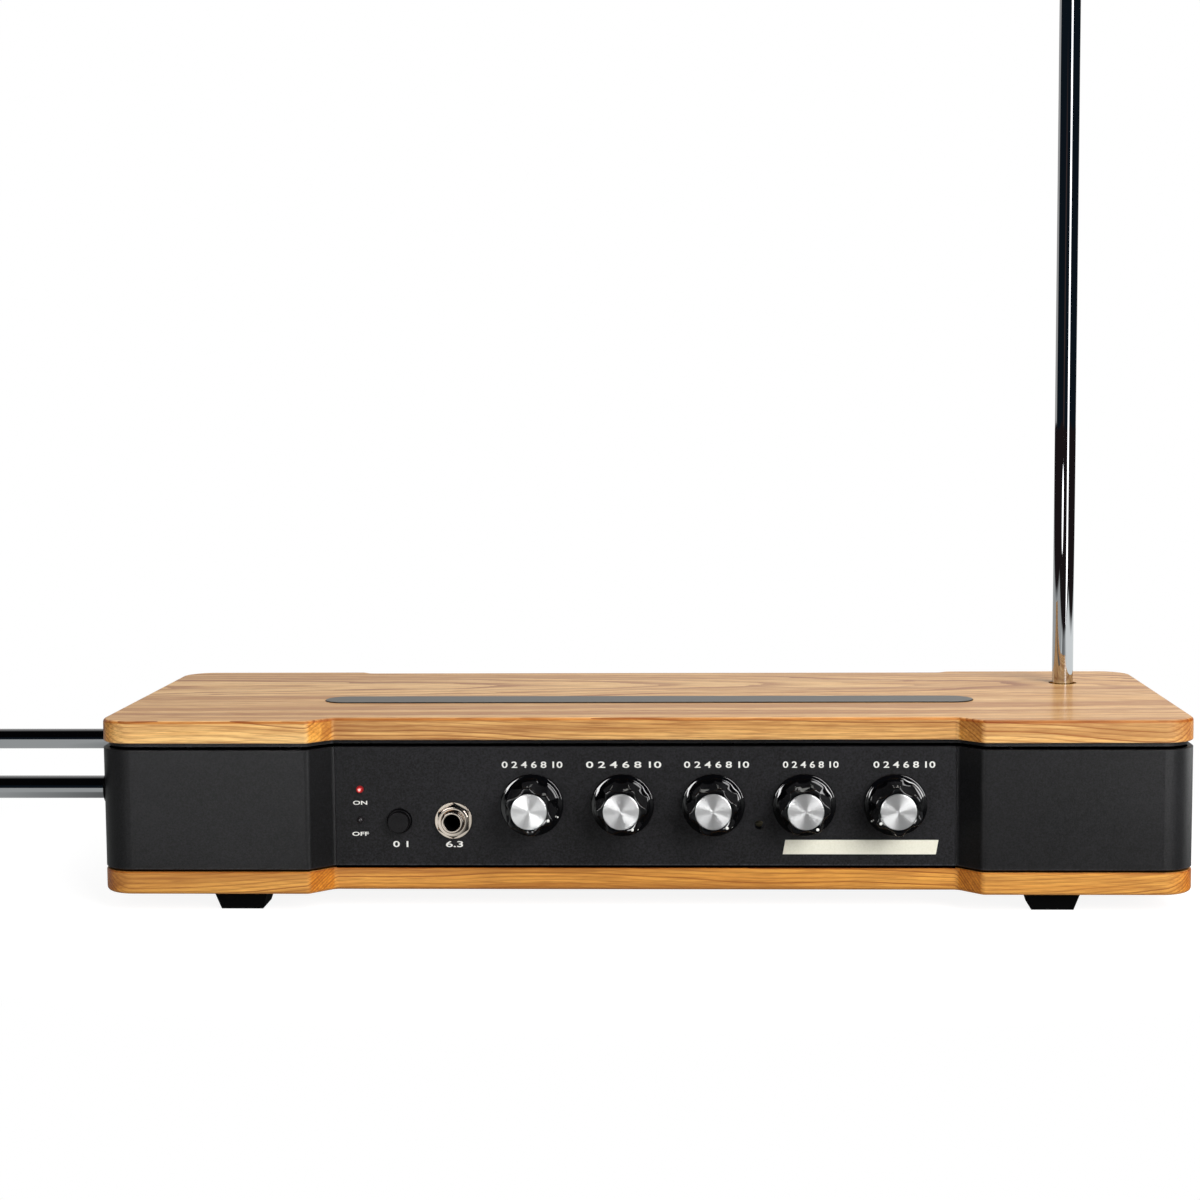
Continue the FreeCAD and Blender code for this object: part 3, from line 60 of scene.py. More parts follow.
LAMPS = (("power", 42.9, "lamp_red"), ("mute", 30.0, "lamp_dark"))
JACK_X, JACK_Z = -80.3, 29.7
REAR_SEAT_Y, REAR_PANEL_Y, REAR_Z = 74.9, 76.4, 35.5
REAR_JACKS_X, INLET_X = (46.0, 16.0, -14.0), 84.0
JACK_HALF, JACK_BORE_R, WASHER = 7.5, 3.62, 0.8
ROD_X, ROD_Y, ROD_FOOT_Z, ROD_LENGTH = 191.2, 38.5, 17.5, 470.0
LEG_Y, LOOP_Z, LOOP_NEAR_X, LOOP_FAR_X, LOOP_BEND = 66.7, 42.9, -188.5, -454.5, 38.0
ANTENNA_R = 4.7625
DIAL_Z = 36.4
# Each dial's place, its turn in degrees, and the two ends of its row of numbers.
DIALS = (
    ("phones", -47.2, -24.7, (-59.8, -34.3)),
    ("volume", -9.2, -57.7, (-24.4, 7.1)),
    ("pitch", 28.8, -49.5, (16.6, 43.8)),
    ("waveform", 66.8, -56.6, (57.9, 81.1)),
    ("brightness", 104.8, 213.4, (95.6, 121.3)),
)
# A dial's skirt and the radius of its two index dots' places. Heights on it: the foot of its grip,
# the grip's shoulder and its top. Then the grip's radius at both ends, its flutes' radius at both
# ends, and the flutes' distance from the dial's axis.
SKIRT_R, RIM_DOT, SKIRT_DOT = 13.2, 8.75, 11.95
GRIP_LOW, GRIP_SHOULDER, GRIP_HIGH = 3.4, 16.6, 17.2
GRIP_WIDE, GRIP_SLIM = 11.4, 10.2
FLUTE_SLIM, FLUTE_WIDE, FLUTE_OFF = 5.5, 8.0, 16.2

# Materials by name
PAINT = {}


# Node helpers


def node(tree, kind, values=None, **settings):
    """A shader node. Each value is a number, a colour or another node's socket."""
    made = tree.nodes.new("ShaderNode" + kind)
    for key, value in settings.items():
        setattr(made, key, value)
    for key, value in (values or {}).items():
        if isinstance(value, bpy.types.NodeSocket):
            tree.links.new(value, made.inputs[key])
        else:
            made.inputs[key].default_value = value
    return made


def calc(tree, operation, first, second=0.0, third=0.0):
    values = {0: first, 1: second, 2: third}
    return node(tree, "Math", values, operation=operation).outputs[0]


def times(tree, first, second):
    return calc(tree, "MULTIPLY", first, second)


def larger(tree, first, second):
    return calc(tree, "MAXIMUM", first, second)


def blend(tree, factor, first, second, mode="MIX"):
    values = {0: factor, 6: first, 7: second}
    return node(tree, "Mix", values, data_type="RGBA", blend_type=mode).outputs[2]


def tint(tree, factor, colour, by):
    """A colour that is multiplied by another as far as the factor says."""
    return blend(tree, factor, colour, by, "MULTIPLY")


def span(tree, value, low, high, out_low=0.0, out_high=1.0, kind="LINEAR"):
    """A value's place between low and high, carried over to another range and held inside it."""
    values = {0: value, 1: low, 2: high, 3: out_low, 4: out_high}
    return node(tree, "MapRange", values, interpolation_type=kind).outputs[0]


def split(tree, vector):
    """The X, Y and Z of a vector."""
    return node(tree, "SeparateXYZ", {0: vector}).outputs


def length(tree, vector):
    return node(tree, "VectorMath", {0: vector}, operation="LENGTH").outputs["Value"]


def normals(tree):
    """The X, Y and Z of the way a face looks."""
    return split(tree, node(tree, "NewGeometry").outputs["Normal"])


def from_axis(tree, place):
    """The distance from an object's own Z axis."""
    axes = split(tree, place)
    return length(tree, node(tree, "CombineXYZ", {0: axes[0], 1: axes[1]}).outputs[0])


def stretched(tree, source, scale, shift=(0.0, 0.0, 0.0)):
    values = {"Vector": source, "Scale": scale, "Location": shift}
    return node(tree, "Mapping", values).outputs[0]


def noise(tree, vector, scale=1.0, detail=2.0, roughness=0.5):
    values = {"Vector": vector, "Scale": scale, "Detail": detail, "Roughness": roughness}
    return node(tree, "TexNoise", values).outputs[0]


def streaks(tree, source, scale, detail=2.0, roughness=0.5, shift=(0.0, 0.0, 0.0)):
    """Noise with a scale of its own along each axis."""
    return noise(tree, stretched(tree, source, scale, shift), 1.0, detail, roughness)


def ring_noise(tree, radius, scale, roughness=0.5):
    """Noise that changes with the radius alone."""
    line = node(tree, "CombineXYZ", {0: times(tree, radius, scale)}).outputs[0]
    return noise(tree, line, roughness=roughness)


def wander(tree, value, wave, size):
    """A value that strays to both sides with a noise."""
    return calc(tree, "MULTIPLY_ADD", calc(tree, "SUBTRACT", wave, 0.5), size, value)


def ramp(tree, factor, *stops):
    made = node(tree, "ValToRGB", {0: factor})
    row = made.color_ramp.elements
    while len(row) < len(stops):
        row.new(1.0)
    for slot, (place, colour) in zip(row, stops):
        slot.position = place
        slot.color = colour
    return made.outputs[0]


def mix_shaders(tree, factor, first, second):
    return node(tree, "MixShader", {0: factor, 1: first, 2: second}).outputs[0]


def grey(level):
    return (level, level, level, 1.0)


def shade(colour, *by):
    """A colour scaled by one number, or by one each for red, green and blue."""
    return tuple(c * b for c, b in zip(colour[:3], by * 3)) + (1.0,)


def cleared(item):
    """The empty node tree of a material or world."""
    item.use_nodes = True
    item.node_tree.nodes.clear()
    return item.node_tree


def start(name, **values):
    """A new paint's node tree, its shader and its object coordinates."""
    PAINT[name] = bpy.data.materials.new(name)
    tree = cleared(PAINT[name])
    inputs = {key.replace("_", " "): value for key, value in values.items()}
    shader = node(tree, "BsdfPrincipled", inputs)
    tree.links.new(shader.outputs[0], node(tree, "OutputMaterial").inputs[0])
    return tree, shader, node(tree, "TexCoord").outputs["Object"]


def feed(tree, shader, **sockets):
    for key, socket in sockets.items():
        tree.links.new(socket, shader.inputs[key.replace("_", " ")])


def bump(tree, shader, height, strength, distance):
    values = {"Strength": strength, "Distance": distance, "Height": height}
    tree.links.new(node(tree, "Bump", values).outputs[0], shader.inputs["Normal"])


# Materials. Their lengths are in metres.

# Ash from pale to dark, and what it is multiplied by on its ends and sides, and by a painted shade on
# its upper arris.
TOP_TONES = ((1.0, 0.665, 0.315, 1.0), (0.92, 0.53, 0.205, 1.0), (0.31, 0.095, 0.025, 1.0))
BASE_TONES = ((0.85, 0.43, 0.103, 1.0), (0.70, 0.31, 0.066, 1.0), (0.30, 0.095, 0.018, 1.0))
PORE_BROWN = (0.15, 0.055, 0.014, 1.0)
END_TINT = (0.86, 0.585, 0.15, 1.0)
SIDE_TINT = (1.0, 1.0, 0.84, 1.0)
# Painted shade that darkens the rounded upper arris.
ARRIS_SHADE = (0.70, 0.46, 0.24, 1.0)
# How dark the early wood is from one year's beginning to the next.
EARLY_WOOD = ((0.0, 1.0), (0.16, 0.95), (0.36, 0.25), (0.6, 0.0), (1.0, 0.05))


def set_back(tree, place):
    """Picks the faces that look forwards from the stepped-back part of the front, where painted shade
    goes.
    """
    ahead = span(tree, normals(tree)[1], -0.9, -0.97)
    return times(tree, ahead, span(tree, split(tree, place)[1], -0.078, -0.075))


def wood(name, tones, shift, heart, tilt, ring, recess_shade):
    """Ash boards: growth rings about a far heart line, with streaks, fibres and open pores along X.

    The shift along X picks the figure. The heart is the line's (y, z), the tilt its slope and the
    ring a year's width. The stepped-back front is multiplied by recess_shade, a painted shade.
    """
    pale, middle, dark = tones
    tree, shader, place = start(name, Specular_IOR_Level=0.3, Coat_Weight=0.4, Coat_Roughness=0.2)
    moved = stretched(tree, place, (1.0, 1.0, 1.0), (shift, 0.0, 0.0))
    axes = split(tree, moved)
    slow = streaks(tree, moved, (4.0, 13.0, 13.0))
    sway = streaks(tree, moved, (3.5, 10.0, 10.0), shift=(3.7, 1.3, 0.0))
    ripple = streaks(tree, moved, (20.0, 120.0, 120.0), 3.0)
    across = wander(tree, calc(tree, "SUBTRACT", axes[1], heart[0]), slow, 0.030)
    above = calc(tree, "MULTIPLY_ADD", axes[0], tilt, calc(tree, "SUBTRACT", axes[2], heart[1]))
    above = wander(tree, above, sway, 0.012)
    square = calc(tree, "ADD", calc(tree, "POWER", across, 2.0), calc(tree, "POWER", above, 2.0))
    reach = calc(tree, "SQRT", square)
    years = calc(tree, "MULTIPLY_ADD", ripple, 0.9, calc(tree, "DIVIDE", reach, ring))

    # The lines of early wood are stronger in some years and some places than in others.
    count = {"W": calc(tree, "FLOOR", years)}
    year = node(tree, "TexWhiteNoise", count, noise_dimensions="1D").outputs["Value"]
    line = ramp(tree, calc(tree, "FRACT", years), *((at, grey(dim)) for at, dim in EARLY_WOOD))
    line = times(tree, line, span(tree, year, 0.2, 0.8, 0.45, 1.0))
    cloud = streaks(tree, moved, (6.0, 40.0, 55.0), 3.0, shift=(0.0, 5.0, 2.0))
    line = times(tree, line, span(tree, cloud, 0.3, 0.65, 0.65, 1.0))

    # Streaks carry the tone from pale to middle; broad bands, lines and fibres darken it.
    streak = streaks(tree, moved, (11.0, 260.0, 420.0), 3.0, 0.6, (2.0, 0.0, 7.0))
    broad = streaks(tree, moved, (2.2, 95.0, 90.0), 3.0, 0.65, (5.0, 0.0, 3.0))
    fibre = streaks(tree, moved, (60.0, 1100.0, 1300.0), 3.0, 0.65)
    group = ring_noise(tree, reach, 150.0)
    tone = calc(tree, "ADD", streak, times(tree, group, 0.5))
    colour = blend(tree, span(tree, tone, 0.55, 0.95), pale, middle)
    deep = times(tree, span(tree, broad, 0.47, 0.6), 0.52)
    deep = larger(tree, deep, times(tree, span(tree, group, 0.48, 0.58), 0.50))
    for factor in (deep, times(tree, line, 0.95), span(tree, fibre, 0.40, 0.66, 0.0, 0.5)):
        colour = blend(tree, factor, colour, dark)
    pore = streaks(tree, moved, (130.0, 3400.0, 3400.0), 2.0, 0.6)
    pore = times(tree, span(tree, pore, 0.56, 0.68), span(tree, line, 0.0, 1.0, 0.3, 1.0))
    colour = blend(tree, times(tree, pore, 0.4), colour, PORE_BROWN)

    facing = normals(tree)
    ends = span(tree, calc(tree, "POWER", facing[0], 2.0), 0.0, 0.6)
    sides = span(tree, calc(tree, "ABSOLUTE", facing[2]), 0.6, 0.2)
    # The upper arris gets a painted shade.
    arris_shade = times(tree, span(tree, facing[2], 0.08, 0.4), span(tree, facing[2], 0.97, 0.7))
    for factor, by in ((ends, END_TINT), (sides, SIDE_TINT), (arris_shade, ARRIS_SHADE)):
        colour = tint(tree, factor, colour, by)
    # Painted shade on the stepped-back front.
    colour = tint(tree, set_back(tree, place), colour, recess_shade)
    feed(tree, shader, Base_Color=colour, Roughness=span(tree, fibre, 0.3, 0.7, 0.42, 0.58))
    bump(tree, shader, calc(tree, "SUBTRACT", fibre, times(tree, pore, 1.4)), 0.1, 0.0001)


def powder(name, level, roughness, grain, strength, shine, foot, rim=None):
    """Powder coat: a fine pebbled, faintly speckled skin, with a painted highlight line just above
    its foot and a painted black shadow under that.

    Above a rim, and on the inside, it is painted black as shade and kept dull. Where there is no
    rim, the stepped-back part of its front is darker with painted shade.
    """
    tree, shader, place = start(name, Roughness=roughness, Specular_IOR_Level=shine)
    pebble = noise(tree, place, grain, 3.0, 0.65)
    fleck = noise(tree, place, 1350.0, 3.0, 0.7)
    cloud = noise(tree, place, 22.0)
    tone = calc(tree, "ADD", times(tree, fleck, 0.8), times(tree, cloud, 0.2))
    low, high = shade(grey(level), 0.42, 0.42, 0.43), shade(grey(level), 1.7, 1.68, 1.95)
    colour = ramp(tree, tone, (0.38, low), (0.62, high))
    spot = split(tree, place)
    # Painted highlight: a thin light line just above the foot.
    roll = span(tree, spot[2], foot + 0.00105, foot + 0.0012)
    roll = times(tree, roll, span(tree, spot[2], foot + 0.0017, foot + 0.0015))
    colour = tint(tree, roll, colour, grey(2.4))
    # Painted shadow: black below that line.
    painted_shade = span(tree, spot[2], foot + 0.00105, foot + 0.00095)
    if rim:
        # Painted shade: black above the rim and on the faces that look inwards.
        painted_shade = larger(tree, painted_shade, span(tree, spot[2], rim, rim + 0.00005))
        facing = normals(tree)
        for axis, limit in ((1, -0.02), (0, -0.15)):
            inward = calc(tree, "LESS_THAN", times(tree, facing[axis], spot[axis]), limit)
            painted_shade = larger(tree, painted_shade, inward)
    else:
        # Painted shade: the stepped-back front, under the board above, is darker.
        painted_shade = larger(tree, painted_shade, times(tree, set_back(tree, place), 0.55))
    colour = blend(tree, painted_shade, colour, grey(0.0))
    rough = span(tree, pebble, 0.3, 0.7, roughness - 0.06, roughness + 0.08)
    feed(tree, shader, Base_Color=colour, Metallic=painted_shade, Roughness=rough)
    bump(tree, shader, pebble, strength, 0.00012)


def metal(name, colour, roughness, grain, spread=0.05, relief=0.0, worn=0.12):
    """Bare or plated metal with faint streaks or smudges that change its gloss."""
    tree, shader, place = start(name, Metallic=1.0, Roughness=roughness)
    streak = streaks(tree, place, grain, 3.0, 0.6)
    smudge = span(tree, noise(tree, place, 35.0), 0.35, 0.7)
    smooth, rough = max(roughness - spread, 0.01), roughness + spread
    feed(tree, shader, Base_Color=blend(tree, smudge, colour, shade(colour, 1 - worn)))
    feed(tree, shader, Roughness=span(tree, streak, 0.3, 0.7, smooth, rough))
    if relief:
        bump(tree, shader, streak, relief, 0.00005)


def plastic(name, colour, roughness, grain=400.0, spread=0.05, relief=0.0, fade=0.15, **extra):
    """Moulded plastic, rubber, paint or varnish with a fine surface and slight changes of tone."""
    tree, shader, place = start(name, Roughness=roughness, **extra)
    skin = noise(tree, place, grain, 3.0, 0.6)
    cloud = span(tree, noise(tree, place, 60.0), 0.35, 0.65)
    smooth, rough = max(roughness - spread, 0.02), roughness + spread
    feed(tree, shader, Base_Color=blend(tree, cloud, shade(colour, 1 - fade), colour))
    feed(tree, shader, Roughness=span(tree, skin, 0.3, 0.7, smooth, rough))
    if relief:
        bump(tree, shader, skin, relief, 0.0001)


def label_paint(name, face, side_shade):
    """A label: pale paint on its face, and painted shade round its sides."""
    tree, shader, place = start(name, Roughness=0.5)
    facing = calc(tree, "ABSOLUTE", normals(tree)[1])
    skin = noise(tree, place, 1400.0, 3.0, 0.6)
    colour = blend(tree, span(tree, skin, 0.35, 0.65), shade(face, 0.93, 0.93, 0.9), face)
    # Painted shade: the sides are dark.
    colour = blend(tree, span(tree, facing, 0.95, 0.8), colour, side_shade)
    feed(tree, shader, Base_Color=colour, Roughness=span(tree, skin, 0.3, 0.7, 0.42, 0.56))
    bump(tree, shader, skin, 0.06, 0.00008)


def satin_face(name, face, side, axis, grain, gloss, **extra):
    """Satin paint or plastic, finely textured on the face along an axis, with painted shade on its
    sides.
    """
    tree, shader, place = start(name, Roughness=0.4, **extra)
    facing = calc(tree, "ABSOLUTE", normals(tree)[axis])
    skin = streaks(tree, place, grain, 3.0, 0.6)
    colour = blend(tree, span(tree, skin, 0.35, 0.65), shade(face, 0.75), face)
    # Painted shade: the sides take the dark side colour.
    colour = blend(tree, span(tree, facing, 0.97, 0.7), colour, side)
    rough = span(tree, skin, 0.3, 0.7, gloss, gloss + 0.14)
    feed(tree, shader, Base_Color=colour, Roughness=rough)
    bump(tree, shader, skin, 0.08, 0.0001)


def spun_aluminium(name):
    """A disc turned on a lathe: fine rings round its own Z make the light fan out."""
    brushed = {"Anisotropic": 0.86, "Anisotropic_Rotation": 0.25}
    tree, shader, place = start(name, Metallic=0.82, Roughness=0.3, **brushed)
    groove = ring_noise(tree, from_axis(tree, place), 9000.0, 0.7)
    colour = ramp(tree, groove, (0.3, grey(0.76)), (0.7, grey(0.84)))
    turn = node(tree, "Tangent", direction_type="RADIAL", axis="Z").outputs[0]
    rough = span(tree, groove, 0.3, 0.7, 0.29, 0.31)
    feed(tree, shader, Base_Color=colour, Tangent=turn, Roughness=rough)


def lamp_glass(name, dull, glow, strength):
    """A lamp's tinted lens; where it is lit its middle is the brightest."""
    tree, shader, place = start(name, Roughness=0.12, Emission_Strength=strength)
    skin = noise(tree, place, 900.0)
    feed(tree, shader, Base_Color=blend(tree, skin, dull, shade(dull, 0.7)))
    if strength:
        rim = shade(glow, 0.22, 0.15, 0.2)
        outwards = span(tree, from_axis(tree, place), 0.0, 0.0015, -0.28, 0.75)
        patch = noise(tree, place, 1500.0, 1.0)
        patch = calc(tree, "MULTIPLY_ADD", patch, 0.5, outwards)
        stops = ((0.2, (1.0, 0.66, 0.60, 1.0)), (0.44, glow), (0.75, rim), (1.0, rim))
        feed(tree, shader, Emission_Color=ramp(tree, patch, *stops))


def circuit_board(name):
    tree, shader, place = start(name, Roughness=0.35, Coat_Weight=0.4, Coat_Roughness=0.15)
    cells = node(tree, "TexVoronoi", {"Vector": place, "Scale": 260.0}, distance="MANHATTAN")
    cells = span(tree, cells.outputs["Distance"], 0.2, 0.5)
    tracks = {"Vector": place, "Scale": 120.0, "Mortar Size": 0.05}
    tracks = node(tree, "TexBrick", tracks).outputs["Fac"]
    colour = blend(tree, cells, (0.012, 0.11, 0.04, 1.0), (0.02, 0.16, 0.06, 1.0))
    colour = blend(tree, tracks, colour, (0.035, 0.22, 0.09, 1.0))
    feed(tree, shader, Base_Color=colour)
    bump(tree, shader, tracks, 0.2, 0.0001)


def striped(name, dark, pale, scale, direction, relief, distance, **values):
    """Wires side by side: a wave of dark and pale that stands up between them."""
    tree, shader, place = start(name, **values)
    wave = node(tree, "TexWave", {"Vector": place, "Scale": scale}, bands_direction=direction)
    feed(tree, shader, Base_Color=blend(tree, wave.outputs["Fac"], dark, pale))
    bump(tree, shader, wave.outputs["Fac"], relief, distance)


COIL_BROWN = (0.55, 0.2, 0.07, 1.0)

# The last tone of each board is the painted shade of its stepped-back front.
wood("wood_top", TOP_TONES, 0.31, (0.034, -0.052), 0.022, 0.00150, (0.80, 0.72, 0.64, 1.0))
wood("wood_base", BASE_TONES, 0.74, (0.02, -0.095), -0.012, 0.00115, (0.98, 0.92, 0.82, 1.0))
# The strip's second colour is a painted shade on its sides.
satin_face("strip_black", (0.17, 0.163, 0.152, 1.0), grey(0.012), 2, (300.0, 1200.0, 1200.0), 0.35)
# The liner's stepped-back front gets a painted shade.
powder("liner_grey", 0.0098, 0.5, 1800.0, 0.15, 0.3, 0.0)
powder("shell_black", 0.0055, 0.4, 2100.0, 0.3, 0.25, PLATE * MM, (RIM_Z + 0.02) * MM)
# The panel has its rim out of reach, so that only its inner side gets the painted black shade.
powder("panel_black", 0.0086, 0.5, 2600.0, 0.25, 0.15, PLATE * MM, 1.0)
# The plate's second colour is the painted shade on its sides.
label_paint("cream_plate", (0.80, 0.78, 0.66, 1.0), (0.03, 0.03, 0.025, 1.0))
metal("steel", grey(0.42), 0.32, (600.0, 600.0, 60.0), 0.08, 0.15)
metal("plated_steel", (0.92, 0.80, 0.69, 1.0), 0.13, (260.0, 260.0, 260.0), 0.05, 0.0, 0.1)
metal("brass", (0.72, 0.47, 0.17, 1.0), 0.25, (500.0, 500.0, 90.0), 0.07, 0.1)
# Black rubber, kept near black as painted shade under the base.
plastic("foot_rubber", (0.0025, 0.0025, 0.0028, 1.0), 0.62, 1500.0, 0.08, 0.3,
        Specular_IOR_Level=0.06)
metal("flange_grey", grey(0.33), 0.4, (500.0, 500.0, 500.0), 0.08, 0.2)
# The button's second colour is a painted shade on its sides.
satin_face("button_black", (0.0112, 0.0108, 0.0115, 1.0), grey(0.0015), 1,
           (1800.0, 1800.0, 1800.0), 0.24, Specular_IOR_Level=0.06)
plastic("trimmer_blue", (0.006, 0.009, 0.022, 1.0), 0.4)
# Near-black steel: a painted shade for the inner parts seen through the gap.
metal("painted_shade_steel", grey(0.03), 0.6, (600.0, 600.0, 60.0), 0.08, 0.15)
# Near black: a painted shade inside the jack's bore.
plastic("bore_shade_black", grey(0.002), 0.6, 900.0, 0.06, 0.1, Specular_IOR_Level=0.05)
plastic("jack_plastic", (0.014, 0.014, 0.015, 1.0), 0.45, 900.0, 0.06, 0.15)
metal("bright_plate", (0.74, 0.72, 0.68, 1.0), 0.2, (300.0, 300.0, 300.0))
circuit_board("board_green")
striped("coil_brown", shade(COIL_BROWN, 0.45, 0.4, 0.4), COIL_BROWN, 900.0, "Z", 0.5, 0.0002,
        Metallic=0.85, Roughness=0.32)
metal("can_aluminium", grey(0.6), 0.3, (700.0, 700.0, 40.0), 0.06)
striped("ribbon_grey", grey(0.16), grey(0.36), 125.0, "X", 0.6, 0.0003, Roughness=0.5)
metal("antenna_chrome", (0.66, 0.67, 0.69, 1.0), 0.02, (40.0, 40.0, 40.0), 0.004, 0.0, 0.05)
# Brass darkened with painted shade, for the trimmer in its hole.
metal("hole_shade_brass", (0.12, 0.108, 0.072, 1.0), 0.4, (700.0, 700.0, 700.0), 0.1, 0.2, 0.3)
plastic("lead_red", (0.45, 0.02, 0.015, 1.0), 0.4)
plastic("knob_black", (0.002, 0.002, 0.0025, 1.0), 0.05, 500.0, 0.02, 0.0, 0.2,
        Specular_IOR_Level=0.45, Coat_Weight=0.45, Coat_Roughness=0.03, Coat_IOR=1.5)
spun_aluminium("cap_aluminium")
lamp_glass("lamp_red", (0.16, 0.008, 0.008, 1.0), (0.70, 0.05, 0.045, 1.0), 1.0)
lamp_glass("lamp_dark", (0.018, 0.016, 0.017, 1.0), grey(0.0), 0.0)
plastic("print", (0.80, 0.80, 0.76, 1.0), 0.5, 900.0, 0.05, 0.0, 0.06)
metal("contact", (0.75, 0.72, 0.65, 1.0), 0.25, (180.0, 180.0, 180.0))


# Mesh helpers


def show(name, data):
    """An object in the scene."""
    made = bpy.data.objects.new(name, data)
    bpy.context.scene.collection.objects.link(made)
    return made


def piece(name, mesh, paint, body, replaced, angle=35.0, weight=80, at=None):
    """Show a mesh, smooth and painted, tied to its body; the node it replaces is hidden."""
    mesh.materials.clear()
    mesh.materials.append(PAINT[paint])
    mesh.shade_smooth()
    mesh.set_sharp_from_angle(angle=math.radians(angle))
    made = show(name, mesh)
    weigh = made.modifiers.new("even_shading", "WEIGHTED_NORMAL")
    weigh.keep_sharp = True
    weigh.weight = weight
    if at is not None:
        made.matrix_world = at
    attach(made, body)
    if replaced:
        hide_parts(replaced)


def mesh_of(name, points, faces):
    """A mesh from points in millimetres, with its faces turned outwards."""
    mesh = bpy.data.meshes.new(name)
    mesh.from_pydata([tuple(c * MM for c in point) for point in points], [], faces)
    work = bmesh.new()
    work.from_mesh(mesh)
    bmesh.ops.remove_doubles(work, verts=work.verts, dist=1e-7)
    bmesh.ops.dissolve_degenerate(work, dist=1e-8, edges=work.edges)
    bmesh.ops.recalc_face_normals(work, faces=work.faces)
    work.to_mesh(mesh)
    work.free()
    return mesh


def joined(name, meshes):
    """One mesh from several."""
    work = bmesh.new()
    for mesh in meshes:
        work.from_mesh(mesh)
        bpy.data.meshes.remove(mesh)
    whole = bpy.data.meshes.new(name)
    work.to_mesh(whole)
    work.free()
    return whole


def carved(mesh, *cutters):
    """The mesh with each cutter's volume taken out."""
    for cutter in cutters:
        whole, tool = show("whole", mesh), show("tool", cutter)
        cut = whole.modifiers.new("cut", "BOOLEAN")
        cut.object = tool
        cut.operation = "DIFFERENCE"
        cut.solver = "EXACT"
        graph = bpy.context.evaluated_depsgraph_get()
        mesh = bpy.data.meshes.new_from_object(whole.evaluated_get(graph))
        for thing in (whole, tool):
            bpy.data.objects.remove(thing)
    return mesh


def grid_faces(rows, steps, closed=False):
    """Faces between rows of points. The rows are capped at both ends, or close on themselves."""
    faces = []
    for j in range(rows if closed else rows - 1):
        low, high = j * steps, (j + 1) % rows * steps
        for k in range(steps):
            after = (k + 1) % steps
            faces.append((low + k, low + after, high + after, high + k))
    if not closed:
        faces.append(tuple(reversed(range(steps))))
        faces.append(tuple(range((rows - 1) * steps, rows * steps)))
    return faces


# For each way to face: what is to the right, up and outwards there.
FRAMES = {
    "-y": (Vector((1, 0, 0)), Vector((0, 0, 1)), Vector((0, -1, 0))),
    "+y": (Vector((-1, 0, 0)), Vector((0, 0, 1)), Vector((0, 1, 0))),
    "+z": (Vector((1, 0, 0)), Vector((0, 1, 0)), Vector((0, 0, 1))),
}


def seated(facing, place):
    """The matrix that sets a form with Z for its axis down at a place in millimetres."""
    return Matrix.Translation(Vector(place) * MM) @ Matrix(FRAMES[facing]).transposed().to_4x4()


def rings(name, rows, centre, facing, steps=96, radius=None, closed=False):
    """A turned form. Each row is (radius, height); radius may be changed by angle and row."""
    right, up, out = FRAMES[facing]
    points = []
    for row in rows:
        for k in range(steps):
            turn = math.tau * k / steps
            spoke = right * math.cos(turn) + up * math.sin(turn)
            reach = radius(turn, row) if radius else row[0]
            points.append(Vector(centre) + spoke * reach + out * row[1])
    return mesh_of(name, points, grid_faces(len(rows), steps, closed))


def quarter(r0, h0, r1, h1, steps=4, leaving="h"):
    """Rows of a quarter round, both ends included; it leaves along the height or the radius."""
    rows = []
    for k in range(steps + 1):
        turn = math.pi / 2 * k / steps
        a, b = math.sin(turn), 1 - math.cos(turn)
        if leaving == "r":
            a, b = b, a
        rows.append((r0 + (r1 - r0) * b, h0 + (h1 - h0) * a))
    return rows


def fillet(gap, soft):
    """What rounds the line where two surfaces cross, by the gap between them."""
    near = max(soft - abs(gap), 0.0) / soft
    return near * near * soft / 4


def case_outline():
    """The case's outline from above: points with their outward normals, the front left first."""
    corners = []
    for (outer, inner), depth, way in ((FRONT_STEP, -PANEL_Y, -1), (REAR_STEP, REAR_Y, 1)):
        half = ((HALF_W, HALF_D, CORNER_R), (outer, HALF_D, STEP_R), (inner, depth, STEP_R))
        left_to_right = [(-x, y * way, r) for x, y, r in half]
        left_to_right += [(x, y * way, r) for x, y, r in reversed(half)]
        corners += left_to_right[::-way]  # to the right in front, and back to the left behind
    ring = []
    for k, (x, y, radius) in enumerate(corners):
        corner = Vector((x, y))
        before = (Vector(corners[k - 1][:2]) - corner).normalized()
        after = (Vector(corners[(k + 1) % len(corners)][:2]) - corner).normalized()
        half = before.angle(after) / 2
        centre = corner + (before + after).normalized() * radius / math.sin(half)
        first = corner + before * radius / math.tan(half) - centre
        last = corner + after * radius / math.tan(half) - centre
        side = 1.0 if before.cross(after) < 0 else -1.0
        begin = math.atan2(first.y, first.x)
        sweep = (math.atan2(last.y, last.x) - begin + math.pi) % math.tau - math.pi
        steps = 12 if radius == CORNER_R else 6
        for j in range(steps + 1):
            turn = begin + sweep * j / steps
            spoke = Vector((math.cos(turn), math.sin(turn)))
            ring.append((centre + spoke * radius, spoke * side))
    return ring


def stadium(radius, steps=24):
    """The strip's outline from above, with its outward normals, at a radius of its ends."""
    ring = []
    for sign in (1, -1):
        for k in range(steps + 1):
            turn = -math.pi / 2 + math.pi * k / steps
            spoke = Vector((math.cos(turn) * sign, math.sin(turn) * sign))
            ring.append((Vector((STRIP_REACH * sign, STRIP_Y)) + spoke * radius, spoke))
    return ring


def slab(name, ring, rows):
    """A slab from an outline with normals; each row is (inset, height), from the bottom up."""
    points = []
    for inset, height in rows:
        for spot, normal in ring:
            flat = spot - normal * inset
            points.append((flat.x, flat.y, height))
    return mesh_of(name, points, grid_faces(len(rows), len(ring)))


